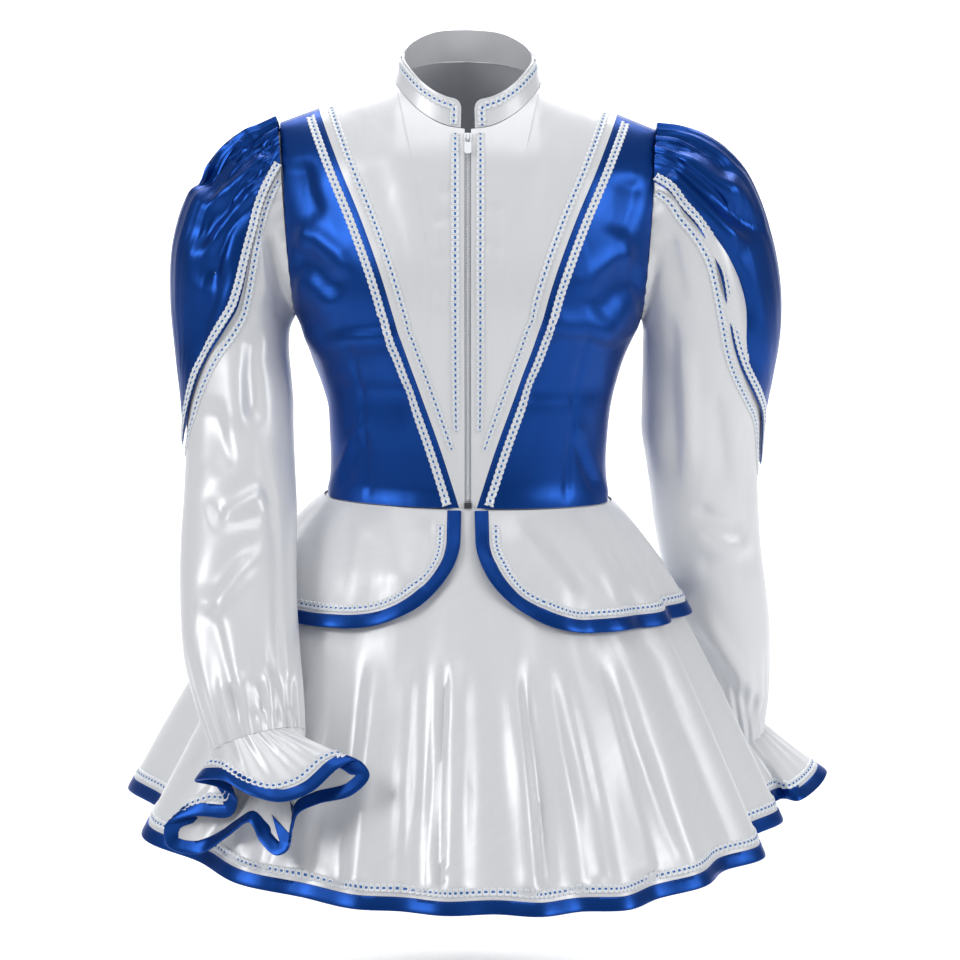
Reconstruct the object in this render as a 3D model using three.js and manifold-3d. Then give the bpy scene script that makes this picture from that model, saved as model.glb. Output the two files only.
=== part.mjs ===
// A majorette's dress in white and royal blue satin, hollow, standing as it is worn.
// Millimetres, +Z up. The front faces -Y, and the wearer's left is +X.
// The origin lies between the shoulders, where the wearer holds the dress up.
import * as THREE from 'three';
import { mergeVertices } from 'three/addons/utils/BufferGeometryUtils.js';
import Module from 'manifold-3d';

const wasm = await Module();
wasm.setup();

const { sin, cos, asin, sqrt, abs, min, max, PI, sign, hypot } = Math;
const point = (x, y, z) => new THREE.Vector3(x, y, z);
const rad = THREE.MathUtils.degToRad;
const { lerp, clamp } = THREE.MathUtils;

// Driving sizes
const SEAM_GAP = 0.3;          // between two pieces that are sewn together
const SLEEVE_SEAM = 1;         // between a sleeve's ends and what they are sewn to, on their fast bends
const CLOTH = 1.4;             // satin with its backing
const COLLAR_CLOTH = 2;        // collar, stiffened
const LEAN = 0.02;             // the whole dress hangs this much lower on the wearer's left, for each mm across
const WAIST = -371;            // height of the waist seam
const WAIST_SEAM = 0.4;        // between the bodice and the skirt
const BRAID = { wide: 8.2, thick: 1.1, lift: 0.9 };
const BINDING = { wide: 12.5, thick: 0.9, lift: 0.7 };
// Trim on the caps, sleeves and frills lies on faster bends, so it stands further out.
const CAP_BRAID = { ...BRAID, lift: 1.6 };
const SLEEVE_BRAID = { ...BRAID, lift: 1.3 };
const FRILL_BRAID = { ...BRAID, lift: 1.6 };
const FRILL_BINDING = { ...BINDING, wide: 11.5, lift: 1.3 };
const LEFT = 1;
const RIGHT = -1;

// Outside of the bodice by height: half width, depth to the front and to the back.
const FIGURE = [
  { z: -385, half: 132, front: 94, back: 93 },
  { z: -371, half: 130.5, front: 92, back: 91 },
  { z: -338, half: 129, front: 92, back: 90 },
  { z: -315, half: 130, front: 93, back: 91 },
  { z: -285, half: 133, front: 97, back: 93 },
  { z: -258, half: 139, front: 101, back: 96 },
  { z: -230, half: 148, front: 106, back: 100 },
  { z: -201, half: 161, front: 110, back: 104 },
  { z: -175, half: 171, front: 111, back: 108 },
  { z: -140, half: 180, front: 108, back: 112 },
  { z: -100, half: 184, front: 99, back: 112 },
  { z: -60, half: 184, front: 87, back: 106 },
  { z: -28, half: 184, front: 76, back: 94 },
  { z: 15, half: 184, front: 66, back: 80 },
  { z: 40, half: 184, front: 60, back: 74 },
];
const SECTION_POWER = 0.8;     // squareness of a section, 1 for an ellipse
const BUST = { x: 74, z: -168, rise: 9, reach: 58 };
const SHOULDER = { neckX: 64, neckZ: 16, slope: 0.385, round: 75 };
const BACK_NECK_RISE = 47;
const ARMHOLE = { topX: 174, topZ: -27.5, pitX: 161, pitZ: -201 };

// Seam between the white yoke and the blue side front.
const YOKE_SEAM = [
  { z: -371, x: 8 },
  { z: -318, x: 25 },
  { z: -267, x: 43 },
  { z: -216, x: 61 },
  { z: -157, x: 79 },
  { z: -109, x: 97 },
  { z: -65, x: 116 },
  { z: -12, x: 138 },
];
const YOKE_END_X = 138;

// Collar by angle from the front centre: half width, height of its seam and how far it stands up.
const NECK_HALF = 67;
const NECK_TURNS = [2.5, 18, 33, 47, 61, 75, 90];   // where the yoke's columns meet the neck, in degrees
const BACK_NECK_STEPS = 5;
const BACK_NECK_SHARE = 0.38;                       // share of the back's width that the neck takes
const COLLAR = [
  { at: 0, seam: -28, rise: 25 },
  { at: 20, seam: -24, rise: 25 },
  { at: 40, seam: -13, rise: 24 },
  { at: 65, seam: 4, rise: 23 },
  { at: 90, seam: 14.6, rise: 22.5 },
  { at: 120, seam: 24, rise: 26 },
  { at: 150, seam: 31, rise: 29 },
  { at: 180, seam: 33, rise: 29.5 },
];
const COLLAR_FRONT = { from: 5.6, corner: 6.5, drop: 7 };
const COLLAR_LEAN_IN = 0.09;
const COLLAR_SEAM = 0.5;        // between the collar and the panels below it
const COLLAR_BRAID = { in: 2.5 };

// Sleeves: one row for each ring. Its outer and inner ends in the front view, where it lies front to back (y),
// and half its depth. The wearer's right forearm comes forward over the skirt, the left one hangs a little
// behind.
const SLEEVE_RIGHT = [
  { outX: 203, outZ: -36, inX: 162, inZ: -204, y: 0, deep: 53 },
  { outX: 225, outZ: -50, inX: 164, inZ: -208, y: 0, deep: 56 },
  { outX: 245, outZ: -73, inX: 166, inZ: -214, y: 0, deep: 59 },
  { outX: 261, outZ: -99, inX: 167, inZ: -222, y: -1, deep: 61 },
  { outX: 272, outZ: -138, inX: 167, inZ: -236, y: -3, deep: 61 },
  { outX: 274, outZ: -184, inX: 165, inZ: -258, y: -6, deep: 59 },
  { outX: 271, outZ: -225, inX: 163, inZ: -282, y: -14, deep: 56 },
  { outX: 264, outZ: -275, inX: 162, inZ: -308, y: -28, deep: 52 },
  { outX: 261, outZ: -312, inX: 160, inZ: -337, y: -44, deep: 48 },
  { outX: 261, outZ: -358, inX: 157, inZ: -372, y: -70, deep: 45 },
  { outX: 262, outZ: -405, inX: 156, inZ: -411, y: -100, deep: 43 },
  { outX: 260, outZ: -450, inX: 154, inZ: -452, y: -132, deep: 41 },
  { outX: 255, outZ: -495, inX: 150, inZ: -491, y: -160, deep: 38 },
  { outX: 242, outZ: -536, inX: 147, inZ: -523, y: -181, deep: 34 },
  { outX: 225, outZ: -576, inX: 145, inZ: -554, y: -200, deep: 28 },
];
const SLEEVE_LEFT = [
  { outX: 196, outZ: -32, inX: 162, inZ: -207, y: 0, deep: 53 },
  { outX: 217, outZ: -38, inX: 163, inZ: -213, y: 0, deep: 56 },
  { outX: 238, outZ: -51, inX: 164, inZ: -219, y: 0, deep: 59 },
  { outX: 258, outZ: -74, inX: 164, inZ: -228, y: 2, deep: 61 },
  { outX: 276, outZ: -117, inX: 164, inZ: -242, y: 5, deep: 61 },
  { outX: 287, outZ: -166, inX: 164, inZ: -264, y: 10, deep: 60 },
  { outX: 289, outZ: -212, inX: 164, inZ: -288, y: 17, deep: 58 },
  { outX: 284, outZ: -254, inX: 164, inZ: -314, y: 24, deep: 54 },
  { outX: 278, outZ: -294, inX: 168, inZ: -340, y: 32, deep: 51 },
  { outX: 275, outZ: -341, inX: 173, inZ: -372, y: 40, deep: 49 },
  { outX: 277, outZ: -383, inX: 177, inZ: -402, y: 49, deep: 48 },
  { outX: 281, outZ: -428, inX: 184, inZ: -438, y: 60, deep: 47 },
  { outX: 288, outZ: -474, inX: 193, inZ: -481, y: 72, deep: 46 },
  { outX: 293, outZ: -515, inX: 206, inZ: -525, y: 84, deep: 45 },
  { outX: 293, outZ: -567, inX: 224, inZ: -577, y: 98, deep: 42 },
  { outX: 289, outZ: -613, inX: 243, inZ: -623, y: 108, deep: 38 },
];
const WRIST_GATHER = { waves: 10, high: 1.2, rings: 1.2 };

// Blue sleeve caps: how far round the sleeve the edge lies from the top of the arm, by ring of the sleeve.
const CAP_RIGHT = [
  { ring: 0, edge: 56 },
  { ring: 1, edge: 74 },
  { ring: 2, edge: 88 },
  { ring: 3.5, edge: 96 },
  { ring: 5, edge: 96 },
  { ring: 6, edge: 83 },
  { ring: 7, edge: 65 },
  { ring: 8, edge: 37 },
  { ring: 9.1, edge: 6 },
];
const CAP_LEFT = [
  { ring: 0, edge: 62 },
  { ring: 1, edge: 68 },
  { ring: 2, edge: 75 },
  { ring: 4, edge: 81 },
  { ring: 6, edge: 81 },
  { ring: 7, edge: 72 },
  { ring: 8, edge: 53 },
  { ring: 9, edge: 28 },
  { ring: 10.1, edge: 6 },
];
const CAP = { start: 0.02, lift: 1.9, braidIn: 1.8, braidFrom: 0.1, braidRoom: 6 };
// Gathers of a cap: they fade down the arm and end before its edges.
const CAP_GATHER = { waves: 13, high: 3.4, fade: 3.2, flatFrom: 6.5, flatOver: 2, flatEdge: 0.82, soft: 0.12 };
// Braid round a cap's tip, below its last full section: shares of the way down and across for its two lines.
const CAP_TIP = [
  { outer: 0.35, inner: 0.16, across: 0.3 },
  { outer: 0.65, inner: 0.3, across: 0.2 },
  { outer: 0.95, inner: 0.45, across: 0.08, outerAcross: 0.25 },
];
// Braid on the sleeve outside a cap: its distance from the edge, and the fan of its sections under the tip.
const SLEEVE_LINE = { out: 4, from: 0.1, stop: 0.4, tipHalf: 1.5, fan: [-85, -60, -30, 0, 30, 60, 85] };

// Skirt hem seen from above: a row for each ridge and hollow, by angle from the front centre.
const HEM = [
  { at: -196, reach: 250, z: -673 },
  { at: -180, reach: 240, z: -672 },
  { at: -164, reach: 250, z: -673 },
  { at: -146, reach: 246, z: -672 },
  { at: -125, reach: 290, z: -670 },
  { at: -109, reach: 286, z: -666 },
  { at: -94, reach: 326, z: -662 },
  { at: -80, reach: 294, z: -667 },
  { at: -67, reach: 322, z: -676 },
  { at: -54, reach: 299, z: -684 },
  { at: -42, reach: 303, z: -691 },
  { at: -31, reach: 284, z: -697 },
  { at: -20, reach: 290, z: -699 },
  { at: -12, reach: 280, z: -700 },
  { at: -4, reach: 287, z: -700 },
  { at: 5, reach: 279, z: -700 },
  { at: 13, reach: 287, z: -701 },
  { at: 21, reach: 278, z: -701 },
  { at: 29, reach: 291, z: -700 },
  { at: 37, reach: 281, z: -697 },
  { at: 46, reach: 293, z: -691 },
  { at: 56, reach: 280, z: -688 },
  { at: 66, reach: 297, z: -684 },
  { at: 76, reach: 272, z: -679 },
  { at: 86, reach: 298, z: -672 },
  { at: 98, reach: 258, z: -668 },
  { at: 108, reach: 246, z: -668 },
  { at: 119, reach: 226, z: -669 },
  { at: 133, reach: 244, z: -671 },
  { at: 149, reach: 230, z: -672 },
  { at: 164, reach: 250, z: -673 },
  { at: 180, reach: 240, z: -672 },
  { at: 196, reach: 250, z: -673 },
];
const FLARE = { side: 0.8, front: 0.2 };   // power of the skirt's profile at the sides, and what the front adds
const SKIRT_BRAID_UP = 15;                 // lower edge of the skirt's braid above the hem

// Peplum, measured down from the waist and along the hem from the front edge.
const PEPLUM = { front: 8, straight: 28, cornerWide: 92, deep: 108, power: 1.8, top: 2, braidIn: 14 };
const PEPLUM_LIFT = { waist: 0.8, hem: 4.5, over: 60 };

// Wrist frills: the edge as a closed line through the middle of its ridges and hollows.
const FRILL_RIGHT = [
  { x: -240, y: -220, z: -596 },
  { x: -214, y: -245, z: -589 },
  { x: -189, y: -262, z: -598 },
  { x: -161, y: -268, z: -603 },
  { x: -135, y: -262, z: -595 },
  { x: -113, y: -252, z: -577 },
  { x: -97, y: -244, z: -572 },
  { x: -86, y: -246, z: -585 },
  { x: -101, y: -247, z: -602 },
  { x: -131, y: -243, z: -611 },
  { x: -149, y: -240, z: -621 },
  { x: -154, y: -245, z: -636 },
  { x: -157, y: -252, z: -650 },
  { x: -167, y: -251, z: -655 },
  { x: -181, y: -240, z: -646 },
  { x: -192, y: -228, z: -631 },
  { x: -214, y: -216, z: -648 },
  { x: -240, y: -205, z: -665 },
  { x: -267, y: -197, z: -660 },
  { x: -268, y: -197, z: -640 },
  { x: -242, y: -204, z: -631 },
  { x: -210, y: -211, z: -629 },
  { x: -205, y: -211, z: -615 },
  { x: -220, y: -213, z: -603 },
];
const FRILL_LEFT = [
  { x: 352, y: 108, z: -660 },
  { x: 342, y: 80, z: -668 },
  { x: 318, y: 50, z: -676 },
  { x: 306, y: 60, z: -676 },
  { x: 291, y: 36, z: -674 },
  { x: 268, y: 48, z: -675 },
  { x: 262, y: 76, z: -682 },
  { x: 243, y: 92, z: -684 },
  { x: 249, y: 116, z: -688 },
  { x: 236, y: 142, z: -686 },
  { x: 256, y: 162, z: -684 },
  { x: 274, y: 156, z: -686 },
  { x: 290, y: 182, z: -680 },
  { x: 314, y: 178, z: -674 },
  { x: 318, y: 152, z: -672 },
  { x: 342, y: 142, z: -664 },
];
// Columns for each point of the edge, the distance of the braid from it, room beside the binding, and where each
// frill starts round its wrist.
const FRILL = { columnsEach: 2, braidIn: 13.2, bindingRoom: 0.8, start: { [RIGHT]: 0.055, [LEFT]: 0 } };

// Zip: n is the distance out of the front surface.
const ZIP = { top: -30, bottom: -366 };
const TAPE = { half: 12, back: -3.1, front: -2.3 };
const CHAIN = { half: 2.4, front: 0.4 };
const ZIP_OPENING = 2.9;       // half the distance between the two yoke edges
const SLIDER = { z: -37, half: 4.2, up: 5.5, down: 5.5, taper: 0.62, gap: 0.35, thick: 1.8 };
const BRIDGE = { half: 1.3, reach: 4.1, wall: 0.9, tunnel: 2.2, sunk: 0.5, slope: 0.9, leg: 1 };
const PULL = { half: 3.3, loopHalf: 2.1, loop: 4.2, bar: 0.6, long: 17, thick: 1, tip: 1.6 };
const STOP = { z: -368.5, half: 3.4, high: 5.5, from: 0.75, thick: 1.6 };

const MATERIALS = {
  white: { color: 0xe9ecf2, roughness: 0.35, metalness: 0 },
  blue: { color: 0x0b3f9e, roughness: 0.35, metalness: 0.1 },
  braid: { color: 0xdfe5f2, roughness: 0.5, metalness: 0.1 },
  tape: { color: 0xf2f3f6, roughness: 0.8, metalness: 0 },
  enamel: { color: 0xe6e8ec, roughness: 0.3, metalness: 0.2 },
  steel: { color: 0x50545c, roughness: 0.35, metalness: 1 },
};

// Value of one column of a table at a place measured in another column, smooth through the rows.
function along(table, by, key, at) {
  const last = table.length - 1;
  const i = clamp(table.findIndex((row) => row[by] > at), 1, last) || 1;
  const end = at >= table[last][by] ? last : i;
  const a = table[end - 1];
  const b = table[end];
  const slopeOf = (p, q) => (q[key] - p[key]) / (q[by] - p[by]);
  const slopeA = slopeOf(table[max(end - 2, 0)], b);
  const slopeB = slopeOf(a, table[min(end + 1, last)]);
  const span = b[by] - a[by];
  const t = clamp((at - a[by]) / span, 0, 1);
  const t2 = t * t;
  const t3 = t2 * t;
  return (2 * t3 - 3 * t2 + 1) * a[key] + (t3 - 2 * t2 + t) * span * slopeA
    + (3 * t2 - 2 * t3) * b[key] + (t3 - t2) * span * slopeB;
}

const range = (from, to, steps) => Array.from({ length: steps + 1 }, (_, i) => lerp(from, to, i / steps));

// Normal of a surface at (u, v), from small steps either way, turned to the surface's outer side.
function normalAt(surface, u, v) {
  const step = 1e-3;
  const alongU = surface(u + step, v).sub(surface(u - step, v));
  const alongV = surface(u, v + step).sub(surface(u, v - step));
  return alongU.cross(alongV).normalize().multiplyScalar(surface.turned || 1);
}

// Settles which side of a surface is its outer one: at the place (u, v) that side faces away from `inside`.
function facing(surface, u, v, inside) {
  surface.turned = 1;
  surface.turned = sign(normalAt(surface, u, v).dot(surface(u, v).sub(inside)));
  return surface;
}

// The same surface moved out along its normals.
function raised(surface, lift) {
  const result = (u, v) => surface(u, v)
    .addScaledVector(normalAt(surface, u, v), typeof lift === 'number' ? lift : lift(u, v));
  result.turned = surface.turned;
  return result;
}

// Both faces of a cloth: its outer side is the surface itself.
const cloth = (surface, thick = CLOTH) => (u, v) => {
  const outer = surface(u, v);
  return [outer, outer.clone().addScaledVector(normalAt(surface, u, v), -thick)];
};

// Both faces of a ribbon laid on a surface. Each section of it runs between two places of the surface, [u, v].
const laid = (surface, kind, sections) => (i, t) => {
  const [[u0, v0], [u1, v1]] = sections[i];
  const u = lerp(u0, u1, t);
  const v = lerp(v0, v1, t);
  const out = normalAt(surface, u, v);
  const at = (lift) => surface(u, v).addScaledVector(out, lift);
  return [at(kind.lift + kind.thick), at(kind.lift)];
};

// A closed wall between two faces, at the columns us and the rows vs. A round wall closes on itself.
function wall(bothFaces, us, vs, round = false) {
  const pairs = vs.flatMap((v) => us.map((u) => bothFaces(u, v)));
  const points = [...pairs.map(([outer]) => outer), ...pairs.map(([, inner]) => inner)];
  const columns = us.length;
  const rows = vs.length;
  const faces = [];
  const at = (side, row, column) => side * pairs.length + row * columns + (column % columns);
  const quad = (a, b, c, d) => faces.push(a, b, c, a, c, d);
  const spans = round ? columns : columns - 1;
  for (let row = 0; row < rows - 1; row += 1) {
    for (let column = 0; column < spans; column += 1) {
      quad(at(0, row, column), at(0, row, column + 1), at(0, row + 1, column + 1), at(0, row + 1, column));
      quad(at(1, row, column), at(1, row + 1, column), at(1, row + 1, column + 1), at(1, row, column + 1));
    }
  }
  const end = rows - 1;
  for (let column = 0; column < spans; column += 1) {
    quad(at(0, 0, column), at(1, 0, column), at(1, 0, column + 1), at(0, 0, column + 1));
    quad(at(0, end, column), at(0, end, column + 1), at(1, end, column + 1), at(1, end, column));
  }
  const side = columns - 1;
  for (let row = 0; row < rows - 1 && !round; row += 1) {
    quad(at(0, row, 0), at(0, row + 1, 0), at(1, row + 1, 0), at(1, row, 0));
    quad(at(0, row, side), at(1, row, side), at(1, row + 1, side), at(0, row + 1, side));
  }
  return solid(points, faces, true);
}

const ribbon = (surface, kind, sections, round = false) => wall(
  laid(surface, kind, sections), sections.map((_, i) => i), [0, 1], round);

// Geometry from points and faces, turned so that its faces point out. If it is cloth it leans with the dress.
function solid(points, faces, leaning) {
  let volume = 0;
  for (let i = 0; i < faces.length; i += 3) {
    const [a, b, c] = [points[faces[i]], points[faces[i + 1]], points[faces[i + 2]]];
    volume += a.dot(b.clone().cross(c));
  }
  if (volume < 0) {
    for (let i = 0; i < faces.length; i += 3) [faces[i], faces[i + 1]] = [faces[i + 1], faces[i]];
  }
  const positions = points.flatMap((p) => [p.x, p.y, leaning ? p.z - LEAN * p.x : p.z]);
  const geometry = new THREE.BufferGeometry();
  geometry.setAttribute('position', new THREE.Float32BufferAttribute(positions, 3));
  geometry.setIndex(faces);
  return geometry;
}

// Bodice

const shoulderLine = (x) => SHOULDER.neckZ - max(0, abs(x) - SHOULDER.neckX) * SHOULDER.slope;

// Outside of the bodice at an angle from the front centre and a height.
function figure(angle, z) {
  const front = cos(angle) > 0;
  const x = along(FIGURE, 'z', 'half', z) * sin(angle);
  const neck = front ? 0 : BACK_NECK_RISE * max(0, 1 - (x / NECK_HALF) ** 2);
  const below = clamp((shoulderLine(x) + neck - z) / SHOULDER.round, 0, 1);
  const rounding = sqrt(1 - (1 - below) ** 2);
  const deep = along(FIGURE, 'z', front ? 'front' : 'back', z) * abs(cos(angle)) ** SECTION_POWER * rounding;
  const fromBust = hypot(abs(x) - BUST.x, z - BUST.z) / BUST.reach;
  const bust = front ? BUST.rise * Math.exp(-(fromBust ** 2)) : 0;
  return point(x, front ? -deep - bust * min(1, deep / 40) : deep, z);
}

const angleAt = (x, z) => asin(clamp(x / along(FIGURE, 'z', 'half', z), -1, 1));
function armholeX(z) {
  const down = clamp((ARMHOLE.topZ - z) / (ARMHOLE.topZ - ARMHOLE.pitZ), 0, 1);
  return lerp(ARMHOLE.topX, ARMHOLE.pitX, down);
}
const BODICE_INSIDE = point(0, 0, -230);
const BODICE_ROWS = [0, 0.012, 0.045, 0.1, 0.18, 0.28, 0.39, 0.5, 0.62, 0.74, 0.87, 1];

// Angle of the bodice's outer edge: the armhole, and the side seam below it.
const outerAngle = (z) => (z > ARMHOLE.pitZ ? angleAt(armholeX(z), z) : PI / 2);

function neckPoint(degrees) {
  const x = NECK_HALF * sin(rad(degrees));
  return { x, z: along(COLLAR, 'at', 'seam', degrees) };
}

const YOKE_NECK_SHARE = 0.6;
const yokeColumns = [
  ...NECK_TURNS.map((turn) => YOKE_NECK_SHARE * (turn - NECK_TURNS[0]) / (90 - NECK_TURNS[0])),
  ...range(YOKE_NECK_SHARE, 1, 3).slice(1),
];

// One half of the white yoke: u from the zip to the seam, v from the neck and shoulder down to the waist.
function yoke(side) {
  const zipTop = neckPoint(NECK_TURNS[0]).z;
  const seamTop = shoulderLine(YOKE_END_X);
  const seamX = (z) => along(YOKE_SEAM, 'z', 'x', z) - SEAM_GAP / 2;
  return (u, v) => {
    const across = clamp(u, 0, 1);
    const down = clamp(v, 0, 1);
    const zipZ = lerp(zipTop, WAIST, down);
    const seamZ = lerp(seamTop, WAIST, down);
    const ruled = (s, t0, t1) => [lerp(angleAt(ZIP_OPENING, t0), angleAt(seamX(t1), t1), s), lerp(t0, t1, s)];
    const neck = neckPoint(lerp(NECK_TURNS[0], 90, across / YOKE_NECK_SHARE));
    const shoulderX = lerp(NECK_HALF, seamX(seamTop), (across - YOKE_NECK_SHARE) / (1 - YOKE_NECK_SHARE));
    const top = across < YOKE_NECK_SHARE ? neck : { x: shoulderX, z: shoulderLine(shoulderX) };
    const [topAngle, topZ] = ruled(across, zipTop, seamTop);
    const [angle, z] = ruled(across, zipZ, seamZ);
    const bend = 1 - down;
    const a = angle + bend * (angleAt(max(top.x, ZIP_OPENING), top.z) - topAngle);
    const p = figure(a, z + bend * (top.z - topZ));
    return point(side * p.x, p.y - SEAM_GAP / 2, p.z);
  };
}

// Blue side front: u from the yoke seam to the armhole and side seam.
function sideFront(side) {
  const seamX = (z) => along(YOKE_SEAM, 'z', 'x', z) + SEAM_GAP / 2;
  const seamTop = shoulderLine(YOKE_END_X);
  return (u, v) => {
    const across = clamp(u, 0, 1);
    const down = clamp(v, 0, 1);
    const topX = lerp(seamX(seamTop), ARMHOLE.topX, across);
    const ruled = (seamZ, outerZ) => lerp(angleAt(seamX(seamZ), seamZ), outerAngle(outerZ), across);
    const topAngle = angleAt(topX, shoulderLine(topX));
    const a = ruled(lerp(seamTop, WAIST, down), lerp(ARMHOLE.topZ, WAIST, down))
      + max(0, 1 - 3 * down) * (topAngle - ruled(seamTop, ARMHOLE.topZ));
    const p = figure(a, lerp(shoulderLine(topX), WAIST, down));
    return point(side * p.x, p.y - SEAM_GAP / 2, p.z);
  };
}

// Blue back, one piece: u from the wearer's right side to the left.
function backPanel() {
  return (u, v) => {
    const across = clamp(u, 0, 1) * 2 - 1;
    const down = clamp(v, 0, 1);
    const reach = abs(across);
    const neck = neckPoint(180 - 90 * (reach / BACK_NECK_SHARE));
    const shoulderX = lerp(NECK_HALF, ARMHOLE.topX, (reach - BACK_NECK_SHARE) / (1 - BACK_NECK_SHARE));
    const top = reach < BACK_NECK_SHARE ? neck : { x: shoulderX, z: shoulderLine(shoulderX) };
    const outerZ = lerp(ARMHOLE.topZ, WAIST, down);
    const z = lerp(top.z, WAIST, down);
    const topTurn = angleAt(top.x, top.z) / angleAt(ARMHOLE.topX, ARMHOLE.topZ);
    const turn = lerp(topTurn, reach, min(1, down * 3));
    const p = figure(PI - turn * outerAngle(outerZ), z);
    return point((sign(across) || 1) * p.x, p.y + SEAM_GAP / 2, p.z);
  };
}

// Width of a panel at a row by the scale of a narrow strip at one edge, to place braid so far from that edge.
const EDGE_STRIP = 0.02;
function widthAt(surface, v, fromFarEdge) {
  const [from, to] = fromFarEdge ? [1 - EDGE_STRIP, 1] : [0, EDGE_STRIP];
  return surface(from, v).distanceTo(surface(to, v)) / EDGE_STRIP;
}

// Braid along a seam of a panel, so many mm from the edge at u = 0 or 1.
function seamBraid(surface, rows, distance, fromFarEdge = false) {
  const place = (v, d) => {
    const share = d / widthAt(surface, v, fromFarEdge);
    return fromFarEdge ? 1 - share : share;
  };
  const sections = rows.map((v) => [[place(v, distance), v], [place(v, distance + BRAID.wide), v]]);
  return ribbon(surface, BRAID, sections);
}

// Collar

const COLLAR_INSIDE = point(0, 0, 10);

function collarSurface(degrees, t) {
  const turn = clamp(degrees, COLLAR_FRONT.from, 360 - COLLAR_FRONT.from);
  const half = turn > 180 ? 360 - turn : turn;
  const seam = neckPoint(half);
  const z = min(seam.z, shoulderLine(seam.x) + (half > 90 ? BACK_NECK_RISE : 0));
  const base = figure(half > 90 ? PI - angleAt(seam.x, z) : angleAt(seam.x, z), z);
  const nearCorner = clamp((COLLAR_FRONT.from + COLLAR_FRONT.corner - half) / COLLAR_FRONT.corner, 0, 1);
  const rise = along(COLLAR, 'at', 'rise', half) - COLLAR_FRONT.drop * (1 - sqrt(1 - nearCorner ** 2));
  const narrow = 1 - COLLAR_LEAN_IN * t;
  return point((turn > 180 ? -1 : 1) * base.x * narrow, base.y * narrow, base.z + COLLAR_SEAM + rise * t);
}

facing(collarSurface, 90, 0.5, COLLAR_INSIDE);

// Braid up the front edges of the collar and along its top edge.
function collarBraid(turns) {
  const mmPerDegree = collarSurface(8, 0.5).distanceTo(collarSurface(9, 0.5));
  const first = COLLAR_FRONT.from + COLLAR_BRAID.in / mmPerDegree;
  const corner = first + BRAID.wide / mmPerDegree;
  const between = turns.filter((turn) => turn > first + 0.3 && turn < corner - 1);
  const half = [first, ...between, corner, corner + 0.6];
  const rest = turns.filter((turn) => turn > corner + 1.5 && turn < 360 - corner - 1.5);
  const section = (turn) => {
    const near = min(turn, 360 - turn);
    const rise = collarSurface(turn, 0).distanceTo(collarSurface(turn, 1));
    const low = near <= corner + 0.01 ? 0.03 : 1 - (COLLAR_BRAID.in + BRAID.wide) / rise;
    return [[turn, low], [turn, 1 - COLLAR_BRAID.in / rise]];
  };
  const all = [...half, ...rest, ...half.map((turn) => 360 - turn).reverse()];
  return ribbon(collarSurface, BRAID, all.map(section));
}

// Sleeves

// The armhole as a closed line round the arm. At its top and bottom it comes in to the middle of the side.
const ARMHOLE_ROUND = 6;
function armholePoint(side, turn) {
  const middle = (ARMHOLE.topZ + ARMHOLE.pitZ) / 2;
  const z = middle + (ARMHOLE.topZ - middle) * cos(turn);
  const x = armholeX(z);
  const front = sin(turn) >= 0;
  const p = figure(front ? angleAt(x, z) : PI - angleAt(x, z), z);
  return point(side * (x + SLEEVE_SEAM), p.y * min(1, abs(sin(turn)) * ARMHOLE_ROUND), z);
}

// A sleeve's surface: turn goes round it from the top of the arm over the front, ring goes down it.
function sleeveSurface(side, table) {
  const centre = table.map((row) => point(side * (row.outX + row.inX) / 2, row.y, (row.outZ + row.inZ) / 2));
  const ringPoint = (index, turn) => {
    const row = table[index];
    const lean = LEAN * side;
    const outer = point(side * row.outX, row.y, row.outZ + lean * row.outX);
    const inner = point(side * row.inX, row.y, row.inZ + lean * row.inX);
    const half = outer.clone().sub(inner).multiplyScalar(0.5);
    const axis = centre[min(index + 1, table.length - 1)].clone().sub(centre[max(index - 1, 0)]);
    const deep = axis.cross(half).normalize();
    if (deep.y > 0) deep.negate();
    const gather = 1 + (WRIST_GATHER.high / row.deep) * cos(WRIST_GATHER.waves * turn)
      * clamp((index - table.length + 1) / WRIST_GATHER.rings + 1, 0, 1);
    return outer.add(inner).multiplyScalar(0.5)
      .addScaledVector(half, cos(turn) * gather)
      .addScaledVector(deep, sin(turn) * row.deep * gather);
  };
  const lines = new Map();
  return (turn, ring) => {
    const key = turn.toFixed(6);
    if (!lines.has(key)) {
      const points = [armholePoint(side, turn), ...table.map((_, index) => ringPoint(index, turn))];
      lines.set(key, new THREE.CatmullRomCurve3(points, false, 'catmullrom', 0.5));
    }
    return lines.get(key).getPoint(clamp(ring, 0, table.length) / table.length);
  };
}

// Blue cap over the sleeve, gathered at the shoulder: u goes across from back edge (-1) to front edge (1).
function capSurface(sleeve, table) {
  const gather = (turn, ring) => {
    const unevenness = 0.75 + 0.25 * sin(5 * turn + 1);
    const flat = clamp((CAP_GATHER.flatFrom - ring) / CAP_GATHER.flatOver, 0, 1);
    const fade = Math.exp(-ring / CAP_GATHER.fade) * flat;
    const edge = rad(along(table, 'ring', 'edge', ring));
    const inner = clamp((CAP_GATHER.flatEdge - abs(turn) / edge) / CAP_GATHER.soft, 0, 1);
    const wave = 0.5 + 0.5 * cos(PI * CAP_GATHER.waves * turn / edge);
    return CAP_GATHER.high * fade * inner * unevenness * wave;
  };
  const lifted = raised(sleeve, (turn, ring) => CAP.lift + CLOTH + gather(turn, ring));
  const surface = (u, ring) => lifted(rad(u * along(table, 'ring', 'edge', ring)), ring);
  surface.turned = sleeve.turned;
  return surface;
}

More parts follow.
